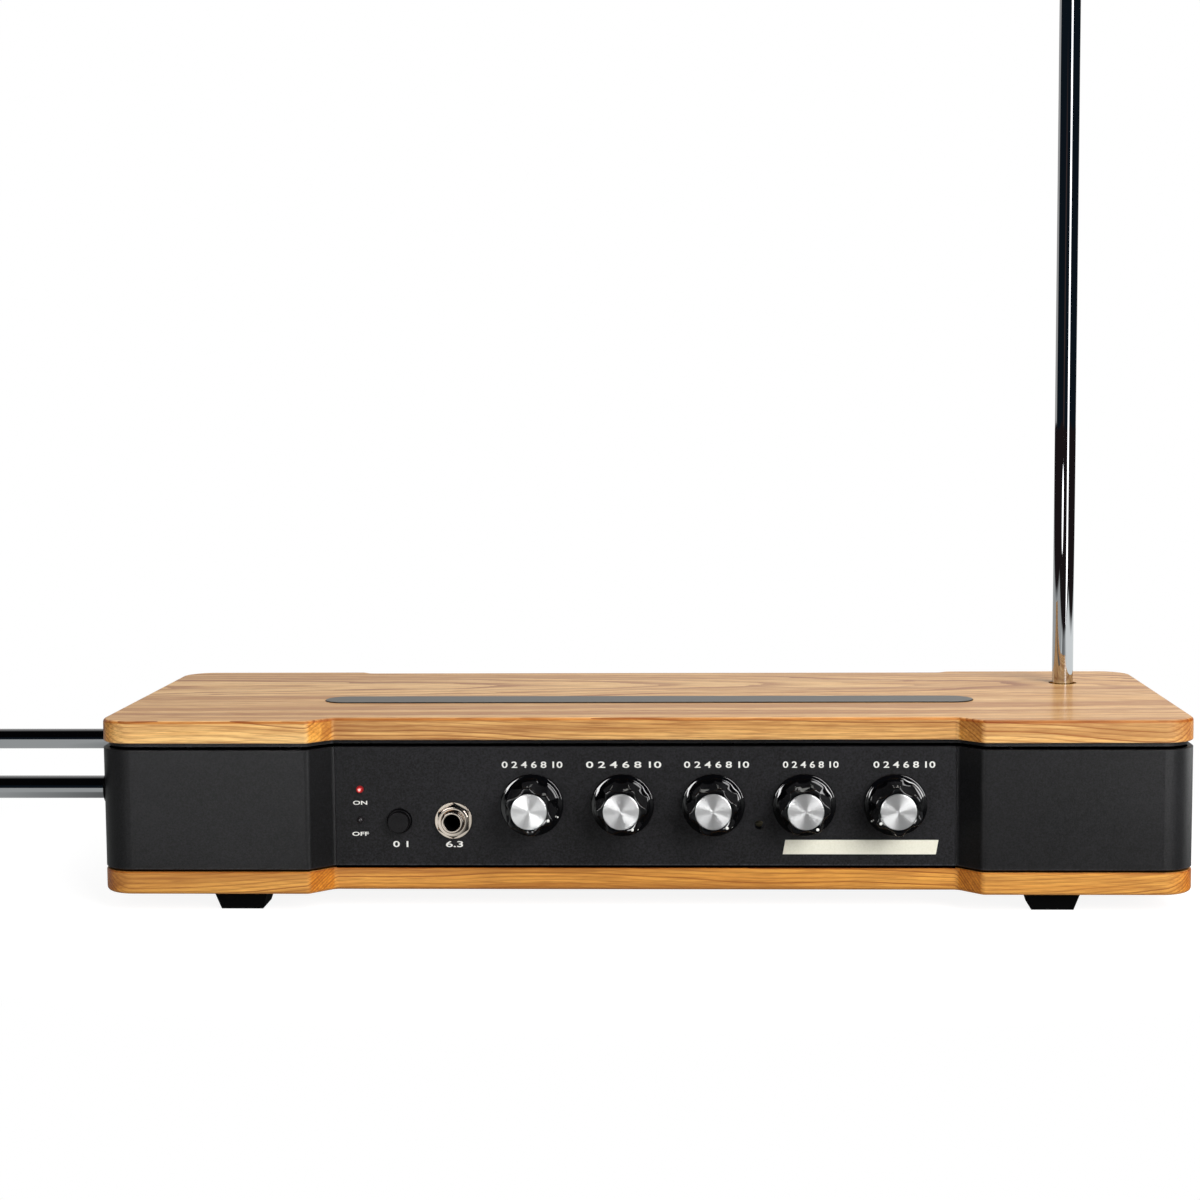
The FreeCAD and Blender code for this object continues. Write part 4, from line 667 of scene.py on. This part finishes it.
def board_rows(low, high, low_round, top_round, steps=5):
    """A board's edge with its lower and upper arris rounded."""
    rows = quarter(low_round, low, 0.0, low + low_round, steps, "r")
    return rows + quarter(0.0, high - top_round, top_round, high, steps)


def box_mesh(name, low, high, bevel):
    """A box between two opposite corners, with all its edges bevelled."""
    corners = list(itertools.product(*zip(low, high)))
    faces = [(0, 1, 3, 2), (4, 6, 7, 5), (0, 4, 5, 1), (2, 3, 7, 6), (0, 2, 6, 4), (1, 5, 7, 3)]
    mesh = mesh_of(name, corners, faces)
    work = bmesh.new()
    work.from_mesh(mesh)
    bmesh.ops.bevel(work, geom=work.edges, offset=bevel * MM, segments=2, profile=0.5, affect="EDGES")
    work.to_mesh(mesh)
    work.free()
    return mesh


# Case


def make_plates():
    ring = case_outline()
    top = slab("top_wood", ring, board_rows(TOP_LOW, TOP_HIGH, INNER_ARRIS, OUTER_ARRIS))
    ease = 0.3
    rod_rows = [(ROD_HOLE_R, -1.0)]
    rod_rows += quarter(ROD_HOLE_R, PLATE - ease, ROD_HOLE_R + ease, PLATE, 2)
    rod_rows.append((ROD_HOLE_R + ease, PLATE + 2.5))
    rod_hole = rings("rod_hole", rod_rows, (ROD_X, ROD_Y, TOP_LOW), "+z", 64)
    groove_rows = [(0, STRIP_BED), (0, TOP_HIGH - 0.2), (-0.15, TOP_HIGH), (-0.15, TOP_HIGH + 0.8)]
    groove = slab("groove", stadium(STRIP_R + 0.075), groove_rows)
    piece("top_board", carved(top, rod_hole, groove), "wood_top", "case", "top_plate")

    base = slab("base_wood", ring, board_rows(0.0, PLATE, OUTER_ARRIS, INNER_ARRIS))
    boss_rows = [(BOSS_R, -1.0), (BOSS_R, PLATE + 1.5)]
    cutters = [rings("boss_hole", boss_rows, (0, 0, 0), "+z", 64)]
    seat_rows = [(3.9, -1.0), (3.9, 0.0), (2.0, 1.9), (2.0, PLATE + 1.0)]
    for x, y in SCREWS:
        cutters.append(rings("screw_seat", seat_rows, (x, y, 0), "+z", 40))
    piece("base_board", carved(base, *cutters), "wood_base", "case", "bottom_plate")

    strip_rows = [(0, STRIP_BED), (0, STRIP_TOP - 0.3), (0.12, STRIP_TOP - 0.1), (0.4, STRIP_TOP)]
    piece("inlay", slab("strip", stadium(STRIP_R), strip_rows), "strip_black", "case", "inlay_strip")


# Dials


def flute_reach(turn, height, angle):
    """How far a dial's grip reaches at a turn and height, with its six flutes rounded into it."""
    share = min(max((height - GRIP_LOW) / (GRIP_SHOULDER - GRIP_LOW), 0.0), 1.0)
    grip = GRIP_WIDE + (GRIP_SLIM - GRIP_WIDE) * share
    bite = FLUTE_SLIM + (FLUTE_WIDE - FLUTE_SLIM) * (height - GRIP_LOW) / (GRIP_HIGH - GRIP_LOW)
    step = math.radians(60)
    off = (turn - math.radians(angle)) % step - step / 2
    inner = bite * bite - (FLUTE_OFF * math.sin(off)) ** 2
    if inner <= 0:
        return grip
    flute = FLUTE_OFF * math.cos(off) - math.sqrt(inner)
    return min(grip, flute) - fillet(grip - flute, 0.28)


def make_dial(name, x, angle):
    """A dial's knob, its index dots and its cap.

    The knob's rows of four are on the grip and on the slope to its skirt: how far in, the height,
    the height for the flutes, and how far the slope reaches.
    """
    centre = Vector((x, PANEL_Y, DIAL_Z))
    body = f"{name}_dial"

    def radius(turn, row):
        if len(row) == 2:
            return row[0]
        grip = flute_reach(turn, row[2], angle) - row[0]
        return max(grip, row[3]) + fillet(grip - row[3], 0.5)

    # The shaft's bore and the hollow under the skirt, then the skirt's edge.
    rows = [(3.06, 13.4), (3.06, 4.6), (8.0, 4.6), (8.0, 0.75), (8.15, 0.6)]
    rows += [(SKIRT_R - 0.25, 0.6), (SKIRT_R, 0.85), (SKIRT_R, 1.3)]
    rows += quarter(SKIRT_R, 1.45, SKIRT_R - 0.6, 2.1, 5)
    for reach, height in ((12.3, 2.14), (12.0, 2.2), (11.7, 2.27), (11.4, 2.35),
                          (11.1, 2.44), (10.8, 2.55), (10.5, 2.68), (10.2, 2.86)):
        rows.append((0.0, height, height, reach))
    for height in (3.1, GRIP_LOW, 3.8, 4.3, 5.0, 6.0, 7.2, 8.6, 10.0, 11.4, 12.8, 14.2, 15.4, 16.2):
        rows.append((0.0, height, height, 0.0))
    shoulder = quarter(0.0, GRIP_SHOULDER, GRIP_HIGH - GRIP_SHOULDER, GRIP_HIGH, 6)
    rows += [(inset, height, GRIP_SHOULDER, 0.0) for inset, height in shoulder]
    # The cap's recess
    rows += [(7.66, GRIP_HIGH), (7.56, 17.14), (7.525, 17.0), (7.525, GRIP_SHOULDER)]
    knob = rings("knob", rows, centre, "-y", 288, radius)
    piece(f"{name}_dial_grip", knob, "knob_black", body, f"{name}_knob", angle=50)

    right, up, out = FRAMES["-y"]
    spoke = right * math.cos(math.radians(angle)) + up * math.sin(math.radians(angle))
    rim_rows = [(0.62, 17.1), (0.62, GRIP_HIGH), (0.54, 17.235)]
    skirt_rows = [(0.36, 1.9), (0.36, 2.3), (0.28, 2.36)]
    rim_dot = rings("rim_dot", rim_rows, centre + spoke * RIM_DOT, "-y", 32)
    skirt_dot = rings("skirt_dot", skirt_rows, centre + spoke * SKIRT_DOT, "-y", 24)
    marks = joined("marks", [rim_dot, skirt_dot])
    piece(f"{name}_dial_marks", marks, "print", body, None)

    disc = [(7.35, 0.0), (7.45, 0.1)] + quarter(7.45, 0.72, 7.1, 0.9) + [(4.0, 0.9), (1.0, 0.9)]
    cap = rings("cap", disc, (0, 0, 0), "+z", 128)
    seat = seated("-y", centre + out * GRIP_SHOULDER)
    piece(f"{name}_dial_cap", cap, "cap_aluminium", body, f"{name}_cap", 50, 50, seat)


# Button, lamps and jacks


def make_button():
    """The push button from its stem over its collar to its slightly hollow face."""
    rows = [(1.95, -6.0), (1.95, -0.6), (5.15, -0.6)] + quarter(5.15, 1.0, 4.75, 1.5, 3)
    rows += [(4.62, 1.5), (4.55, 1.75)] + quarter(4.55, 3.75, 4.15, 4.2, 5)
    rows += [(2.0, 4.14), (0.6, 4.1)]
    button = rings("button", rows, (BUTTON_X, PANEL_Y, BUTTON_Z), "-y", 72)
    piece("button", button, "button_black", "mute_button", "mute_button")


def make_lamps():
    """The two lamps: a dome on a collar, and two legs behind it."""
    for name, z, paint in LAMPS:
        rows = [(1.9, -4.8), (1.9, -4.0), (1.5, -4.0)] + quarter(1.5, 0.6, 0.05, 2.05, 10)
        parts = [rings("dome", rows, (0, 0, 0), "+z", 40)]
        for x in (-0.75, 0.75):
            parts.append(rings("leg", [(0.3, -9.4), (0.3, -4.7)], (x, 0, 0), "+z", 12))
        seat = seated("-y", (LAMP_X, PANEL_Y, z))
        mesh = joined("lamp", parts)
        piece(f"{name}_lamp", mesh, paint, "case", "panel_lamps", 60, at=seat)


def nut_mesh(centre, facing, flats, thick, bore, spin):
    """A hexagon nut. Rows of three have the radius at which the corners are turned off."""
    full, bite = flats / math.sqrt(3), flats / 2 - 0.15

    def radius(turn, row):
        if len(row) == 2:
            return row[0]
        off = (turn - math.radians(spin)) % (math.pi / 3) - math.pi / 6
        return min(flats / 2 / math.cos(off), row[2])

    rows = [(bore, 0.0), (0, 0.0, full - 0.25), (0, 0.2, full), (0, thick - 0.85, full)]
    rows += [(0, thick - 0.55, full - 0.22), (0, thick - 0.25, full - 0.62)]
    rows += [(0, thick - 0.04, bite + 0.1), (bite, thick), (bore + 0.35, thick), (bore, thick - 0.3)]
    return rings("nut", rows, centre, facing, 180, radius, closed=True)


def jack_nut(centre, facing):
    flats, thick, bore, spin = 12.7, 2.4, 4.78, 30
    return nut_mesh(centre, facing, flats, thick, bore, spin)


def jack_neck(centre, facing, low, high):
    """A jack's threaded neck: a rounded mouth, a long bore and a turned thread."""
    crest, root = 4.76, 4.55
    rows = [(4.7, low)]
    height = low + 0.4
    while height < high - 0.9:
        rows += [(crest, height), (crest, height + 0.18)]
        rows += [(root, height + 0.32), (root, height + 0.42)]
        height += 0.55
    rows += [(crest, high - 0.75)] + quarter(crest, high - 0.7, 4.3, high - 0.05) + [(4.0, high)]
    rows += quarter(3.75, high, 3.3, high - 0.5, 4, "r")
    rows += [(3.3, low - 22.0), (3.6, low - 22.3), (3.6, low)]
    return rings("neck", rows, centre, facing, closed=True)


def jack_sleeve(centre, facing, high):
    """A jack's inner sleeve: dark plastic that lines its bore just behind the mouth, as painted shade
    in the bore.
    """
    back = high - 23.0
    rows = [(3.29, back), (3.29, high - 0.55), (3.24, high - 0.5), (3.2, high - 0.6), (3.2, back)]
    return rings("sleeve", rows, centre, facing, 64, closed=True)


def jack_body(x, seat_y, z, inwards):
    """A jack's square body with its bore; it lies inwards of its seat, along Y by 1 or -1."""
    y_low, y_high = sorted((seat_y + 0.05 * inwards, seat_y + 24.0 * inwards))
    low = (x - JACK_HALF, y_low, z - JACK_HALF)
    high = (x + JACK_HALF, y_high, z + JACK_HALF)
    body = box_mesh("body", low, high, 0.6)
    rows = [(JACK_BORE_R, -2.0), (JACK_BORE_R, 22.4)]
    bore = rings("bore", rows, (x, seat_y, z), "+y" if inwards > 0 else "-y", 48)
    return carved(body, bore)


def make_phones_jack():
    centre = (JACK_X, PANEL_Y, JACK_Z)
    neck = jack_neck(centre, "-y", -1.0, 5.8)
    piece("phones_neck", neck, "plated_steel", "case", "phones_jack", 40)
    body = jack_body(JACK_X, PANEL_Y + 1.2, JACK_Z, 1)
    piece("phones_body", body, "jack_plastic", "case", "phones_jack")
    sleeve = jack_sleeve(centre, "-y", 5.8)
    piece("phones_sleeve", sleeve, "bore_shade_black", "case", "phones_jack")
    rows = [(0.35, -17.0), (0.35, -15.9), (0.9, -15.2), (0.35, -14.4), (0.35, -12.0)]
    contact = rings("contact", rows, (JACK_X, PANEL_Y, JACK_Z + 2.5), "-y", 16)
    piece("phones_contact", contact, "contact", "case", "phones_jack")
    rows = [(4.8, 0.05), (7.75, 0.05), (7.95, 0.25)]
    rows += quarter(7.95, 0.5, 7.55, WASHER) + [(4.8, WASHER)]
    washer = rings("washer", rows, centre, "-y", closed=True)
    piece("phones_washer", washer, "plated_steel", "case", "phones_jack_washer")
    nut = jack_nut((JACK_X, PANEL_Y - WASHER, JACK_Z), "-y")
    piece("phones_nut", nut, "plated_steel", "case", "phones_jack_nut", angle=28)


def make_rear_fittings():
    bodies, necks, nuts = [], [], []
    for x in REAR_JACKS_X:
        centre = (x, REAR_SEAT_Y, REAR_Z)
        necks.append(jack_neck(centre, "+y", 0.2, 7.3))
        bodies.append(jack_body(x, REAR_SEAT_Y, REAR_Z, -1))
        bodies.append(jack_sleeve(centre, "+y", 7.3))
        nuts.append(jack_nut((x, REAR_PANEL_Y, REAR_Z), "+y"))
    nuts.append(nut_mesh((INLET_X, REAR_PANEL_Y, REAR_Z), "+y", 14.0, 1.8, 5.62, 0.0))
    necks = joined("necks", necks)
    piece("rear_necks", necks, "plated_steel", "case", "rear_jacks", 40)
    piece("rear_bodies", joined("bodies", bodies), "jack_plastic", "case", "rear_jacks")
    piece("rear_nut_set", joined("nuts", nuts), "plated_steel", "case", "rear_nuts", angle=28)

    # The inlet's collar and mouth, its bore, its centre pin and its back.
    rows = [(5.6, 0.0)] + quarter(5.6, 4.6, 5.1, 5.1, 3) + quarter(3.3, 5.1, 2.9, 4.7, 3, "r")
    rows += [(2.9, -6.9), (1.0, -6.9)] + quarter(1.0, 3.0, 0.3, 3.4, 3)
    rows += [(0.02, 3.4), (0.02, -12.0), (6.6, -12.0), (6.6, 0.0)]
    inlet = rings("inlet", rows, (INLET_X, REAR_SEAT_Y, REAR_Z), "+y", 64, closed=True)
    piece("inlet", inlet, "jack_plastic", "case", "power_inlet")


# Antennas


def make_rod():
    """The rod from inside its bore outwards, with a rounded top."""
    rows = [(3.8, ROD_LENGTH - 3.0), (3.8, 0.0), (4.55, 0.0), (ANTENNA_R, 0.25)]
    rows += [(ANTENNA_R, 100.0), (ANTENNA_R, 300.0)]
    rows += quarter(ANTENNA_R, ROD_LENGTH - 1.2, ANTENNA_R - 1.2, ROD_LENGTH, 6)
    rows.append((1.5, ROD_LENGTH))
    rod = rings("rod", rows, (ROD_X, ROD_Y, ROD_FOOT_Z), "+z", 144)
    piece("rod_tube", rod, "antenna_chrome", "pitch_antenna", "pitch_antenna")


def make_loop():
    """The loop's tube follows its middle line: a leg and a round bend, and the same mirrored."""
    bend_x, bend_y = LOOP_FAR_X + LOOP_BEND, LOOP_BEND - LEG_Y
    half = []
    for k in range(13):
        half.append((LOOP_NEAR_X + (bend_x - LOOP_NEAR_X) * k / 12, -LEG_Y, -1.0, 0.0))
    for k in range(1, 33):
        turn = math.pi / 2 * k / 32
        a, b = math.sin(turn), math.cos(turn)
        half.append((bend_x - LOOP_BEND * a, bend_y - LOOP_BEND * b, -b, a))
    line = half + [(x, -y, -along_x, along_y) for x, y, along_x, along_y in reversed(half)]
    up = Vector((0, 0, 1))
    steps = 96
    points = []
    for x, y, along_x, along_y in line:
        side = up.cross(Vector((along_x, along_y, 0)))
        for k in range(steps):
            turn = math.tau * k / steps
            spoke = side * math.cos(turn) + up * math.sin(turn)
            points.append(Vector((x, y, LOOP_Z)) + spoke * ANTENNA_R)
    loop = mesh_of("loop", points, grid_faces(len(line), steps))
    piece("loop_tube", loop, "antenna_chrome", "volume_antenna", "volume_antenna")


# Print


def words(text, x_middle, z_middle, width, height):
    """Flat lettering on the front panel, scaled to a width and a height in millimetres."""
    curve = bpy.data.curves.new("words", "FONT")
    curve.body = text
    curve.align_x = "CENTER"
    curve.offset = 0.014
    curve.resolution_u = 4
    holder = show("words", curve)
    graph = bpy.context.evaluated_depsgraph_get()
    mesh = bpy.data.meshes.new_from_object(holder.evaluated_get(graph))
    bpy.data.objects.remove(holder)
    xs = [v.co.x for v in mesh.vertices]
    ys = [v.co.y for v in mesh.vertices]
    left, foot = min(xs), min(ys)
    wide, tall = max(xs) - left, max(ys) - foot
    for v in mesh.vertices:
        x = ((v.co.x - left) / wide - 0.5) * width
        z = ((v.co.y - foot) / tall - 0.5) * height
        v.co = Vector((x_middle + x, PRINT_Y, z_middle + z)) * MM
    return mesh


def make_print():
    marks = []
    for _, _, _, (low, high) in DIALS:
        marks.append(words("0 2 4 6 8 10", (low + high) / 2, 53.3, high - low, 2.75))
    marks.append(words("ON", LAMP_X, 37.15, 6.0, 1.7))
    marks.append(words("OFF", LAMP_X, 23.9, 7.0, 1.7))
    marks.append(words("0 1", BUTTON_X + 0.4, 19.55, 6.4, 2.6))
    marks.append(words("6.3", JACK_X + 0.2, 19.55, 7.2, 2.6))
    piece("panel_print", joined("print", marks), "print", "case", None)


make_plates()
for dial, dial_x, dial_angle, _ in DIALS:
    make_dial(dial, dial_x, dial_angle)
make_button()
make_lamps()
make_phones_jack()
make_rear_fittings()
make_rod()
make_loop()
make_print()

# The nodes that stay get their slot's material, and four of them one of their own.
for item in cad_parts.values():
    for slot in item.material_slots:
        paint = slot.material.name.split(".")[0] if slot.material else None
        slot.material = PAINT.get(paint, slot.material)
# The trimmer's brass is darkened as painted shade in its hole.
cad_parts["trimmer_screw"].material_slots[0].material = PAINT["hole_shade_brass"]
# Painted shade: the three inner brackets and sockets are near black, so that they stay dark through
# the gap.
for name in ("volume_bracket", "volume_sockets", "pitch_socket"):
    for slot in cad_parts[name].material_slots:
        slot.material = PAINT["painted_shade_steel"]


# Studio, in metres

MIDDLE = Vector((0.0, -0.05, 0.04))
# Plated metal and varnished wood, which mirror more than satin metal and plastic do.
MIRRORS = ("rod_tube", "loop_tube", "phones_neck", "phones_nut", "phones_washer")
MIRRORS += ("top_board", "base_board", "inlay")
FLOOR_Z, FLOOR_REACH = -0.0082, 14.0


def around_case(azimuth, elevation, distance):
    """A place round the case: azimuth 0 is in front of the dials, and it grows to the right."""
    a, e = math.radians(azimuth), math.radians(elevation)
    ray = Vector((math.sin(a) * math.cos(e), -math.cos(a) * math.cos(e), math.sin(e)))
    return MIDDLE + ray * distance


def group_of(name, items):
    group = bpy.data.collections.new(name)
    for item in items:
        group.objects.link(item)
    return group


def softbox(name, place, size, radiance, mirrored_by=None, lean=0.0):
    """An area lamp. It lights all surfaces, or shows only in the gloss of those that mirror it."""
    lamp = bpy.data.lights.new(name, "AREA")
    lamp.shape = "RECTANGLE"
    lamp.size, lamp.size_y = size
    lamp.energy = radiance * math.pi * size[0] * size[1]
    item = show(name, lamp)
    item.visible_glossy = mirrored_by is not None
    item.visible_diffuse = mirrored_by is None
    item.light_linking.receiver_collection = mirrored_by
    item.location = place
    item.rotation_mode = "QUATERNION"
    look = (MIDDLE - Vector(place)).to_track_quat("-Z", "Y")
    item.rotation_quaternion = look @ Quaternion((0, 0, 1), math.radians(lean))
    return lamp


def make_lights():
    """Three lamps light the case. Two strips show in its gloss, and weaker ones in its mirrors."""
    softbox("key", around_case(36, 28, 2.8), (1.47, 1.47), 9.8)
    softbox("fill", around_case(-35, 18, 1.9), (0.7, 0.5), 1.1)
    softbox("high", around_case(70, 62, 1.4), (1.2, 1.0), 3.0)
    mirrors = [bpy.data.objects[name] for name in MIRRORS]
    chrome, matt = group_of("chrome", mirrors), group_of("all_but_chrome", mirrors)
    for link in matt.collection_objects:
        link.light_linking.link_state = "EXCLUDE"
    shell_only = group_of("shell_only", [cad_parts["body_shell"]])
    right, right_size = (0.545, -0.85, 0.345), (0.29, 0.72)
    softbox("right_strip", right, right_size, 15.0, matt, 12)
    softbox("left_strip", (-0.33, -0.925, 0.085), (0.37, 0.105), 16.0, matt)
    softbox("right_gleam", right, right_size, 2.2, chrome, 12)
    left = softbox("left_gleam", (-0.30, -0.925, 0.1), (0.30, 0.085), 1.9, chrome)
    left.shape = "ELLIPSE"
    softbox("right_side", (1.3, 0.4, 0.2), (0.6, 0.6), 13.0, shell_only)


def emission(tree, colour, strength=1.0):
    return node(tree, "Emission", {"Color": colour, "Strength": strength}).outputs[0]


def make_floor():
    """White paper. It shades close to the case, and mirrors have a pale table in its place, with
    painted light and shadow.
    """
    mesh = bpy.data.meshes.new("floor")
    square = ((-1, -1), (1, -1), (1, 1), (-1, 1))
    corners = [(x * FLOOR_REACH, y * FLOOR_REACH, FLOOR_Z) for x, y in square]
    mesh.from_pydata(corners, [], [(0, 1, 2, 3)])
    show("floor", mesh)
    paper = bpy.data.materials.new("paper")
    mesh.materials.append(paper)
    tree = cleared(paper)
    path = node(tree, "LightPath").outputs
    place = node(tree, "TexCoord").outputs["Object"]
    axes = split(tree, place)

    fleck = span(tree, noise(tree, place, 900.0), 0.3, 0.7, 0.97, 1.0)
    lit, dimmed = [
        node(tree, "BsdfDiffuse", {"Color": tint(tree, 1.0, grey(level), fleck)}).outputs[0]
        for level in (0.62, 0.27)
    ]
    reach = length(tree, stretched(tree, place, (0.8, 1.3, 1.0)))
    away = span(tree, reach, 0.17, 0.34, kind="SMOOTHSTEP")
    close = node(tree, "AddShader", {0: dimmed, 1: emission(tree, grey(1.0), 0.9)}).outputs[0]
    shown = mix_shaders(tree, away, close, emission(tree, grey(1.0)))

    # The mirrored table ends behind the case and at both sides. Its light is painted: lighter to the
    # right, where the key lamp falls, and before the jack, with a painted shadow under and beside the
    # case.
    table = times(tree, span(tree, axes[1], -1.0, -0.9), span(tree, axes[0], 1.35, 1.15))
    table = times(tree, table, span(tree, axes[0], -1.3, -1.1))
    right = span(tree, axes[0], 0.3, 0.65, 0.22, 0.9)
    level = larger(tree, right, span(tree, axes[0], -0.07, -0.10, 0.22, 0.75))
    level = calc(tree, "MINIMUM", level, span(tree, axes[0], -0.22, -0.12, 0.43, 1.0))
    beside = span(tree, calc(tree, "ABSOLUTE", axes[0]), 0.30, 0.22)
    clear = times(tree, span(tree, axes[0], -0.05, -0.08), span(tree, axes[1], -0.11, -0.13))
    beside = times(tree, beside, calc(tree, "SUBTRACT", 1.0, clear))
    # Painted shadow of the case in the mirrored table.
    under = times(tree, beside, span(tree, calc(tree, "ABSOLUTE", axes[1]), 0.36, 0.20))
    level = times(tree, level, span(tree, under, 0.0, 1.0, 1.0, 0.12))
    pale = tint(tree, 1.0, (0.97, 1.0, 0.99, 1.0), level)
    mirrored = emission(tree, blend(tree, table, (0.0145, 0.010, 0.011, 1.0), pale))

    plain = mix_shaders(tree, path["Is Camera Ray"], lit, shown)
    whole = mix_shaders(tree, path["Is Glossy Ray"], plain, mirrored)
    tree.links.new(whole, node(tree, "OutputMaterial").inputs[0])


def make_world():
    """A white surround that lights plainly. Mirrors have a dark studio with two pale walls."""
    world = bpy.data.worlds.new("studio")
    bpy.context.scene.world = world
    tree = cleared(world)
    path = node(tree, "LightPath").outputs
    axes = split(tree, node(tree, "TexCoord").outputs["Generated"])
    turn = calc(tree, "ARCTAN2", axes[0], times(tree, axes[1], -1.0))

    wall = larger(tree, span(tree, turn, -2.0, -2.15), span(tree, turn, 2.55, 2.7))
    wall = times(tree, wall, span(tree, axes[2], 0.95, 0.5))
    hollow = span(tree, axes[0], -0.3, 0.2, 0.36, 0.62)
    hollow = blend(tree, span(tree, axes[1], 0.5, 0.9), grey(0.55), hollow)
    hollow = tint(tree, 1.0, hollow, (1.0, 0.99, 0.97, 1.0))
    dusk = times(tree, span(tree, turn, -0.60, -0.54), span(tree, turn, -0.34, -0.40))
    dusk = times(tree, dusk, span(tree, axes[2], 0.16, 0.10))
    upwards = span(tree, axes[2], 0.25, 0.45)
    dim = blend(tree, upwards, (0.0055, 0.0095, 0.0145, 1.0), (0.002, 0.002, 0.0025, 1.0))
    dim = blend(tree, dusk, dim, (0.055, 0.036, 0.034, 1.0))

    colour = blend(tree, path["Is Glossy Ray"], grey(0.28), blend(tree, wall, dim, hollow))
    back, white = [
        node(tree, "Background", {"Color": tone, "Strength": 1.0}).outputs[0]
        for tone in (colour, grey(1.0))
    ]
    seen = larger(tree, path["Is Camera Ray"], path["Is Transmission Ray"])
    mixed = mix_shaders(tree, seen, back, white)
    tree.links.new(mixed, node(tree, "OutputWorld").inputs[0])


def make_camera():
    """The camera. Its focal length and shift are in pixels of a square 1200 wide."""
    width, focal, shift = 1200.0, 2196.6, -45.15
    yaw, pitch, roll = 0.0317, 0.0909, -0.0057
    camera = bpy.data.cameras.new("camera")
    camera.sensor_width = 36.0
    camera.lens = focal / width * camera.sensor_width
    camera.shift_x = shift / width
    camera.clip_start, camera.clip_end = 0.01, 60.0
    ahead = (-math.sin(yaw) * math.cos(pitch), math.cos(yaw) * math.cos(pitch), -math.sin(pitch))
    ahead = Vector(ahead)
    level = Vector((math.cos(yaw), math.sin(yaw), 0.0))
    over = level.cross(ahead)
    right = level * math.cos(roll) + over * math.sin(roll)
    above = over * math.cos(roll) - level * math.sin(roll)
    viewer = show("camera", camera)
    viewer.matrix_world = Matrix((
        (right.x, above.x, -ahead.x, 0.02956),
        (right.y, above.y, -ahead.y, -0.98126),
        (right.z, above.z, -ahead.z, 0.20530),
        (0, 0, 0, 1),
    ))
    bpy.context.scene.camera = viewer
    bpy.context.scene.view_settings.view_transform = "Standard"


make_lights()
make_floor()
make_world()
make_camera()
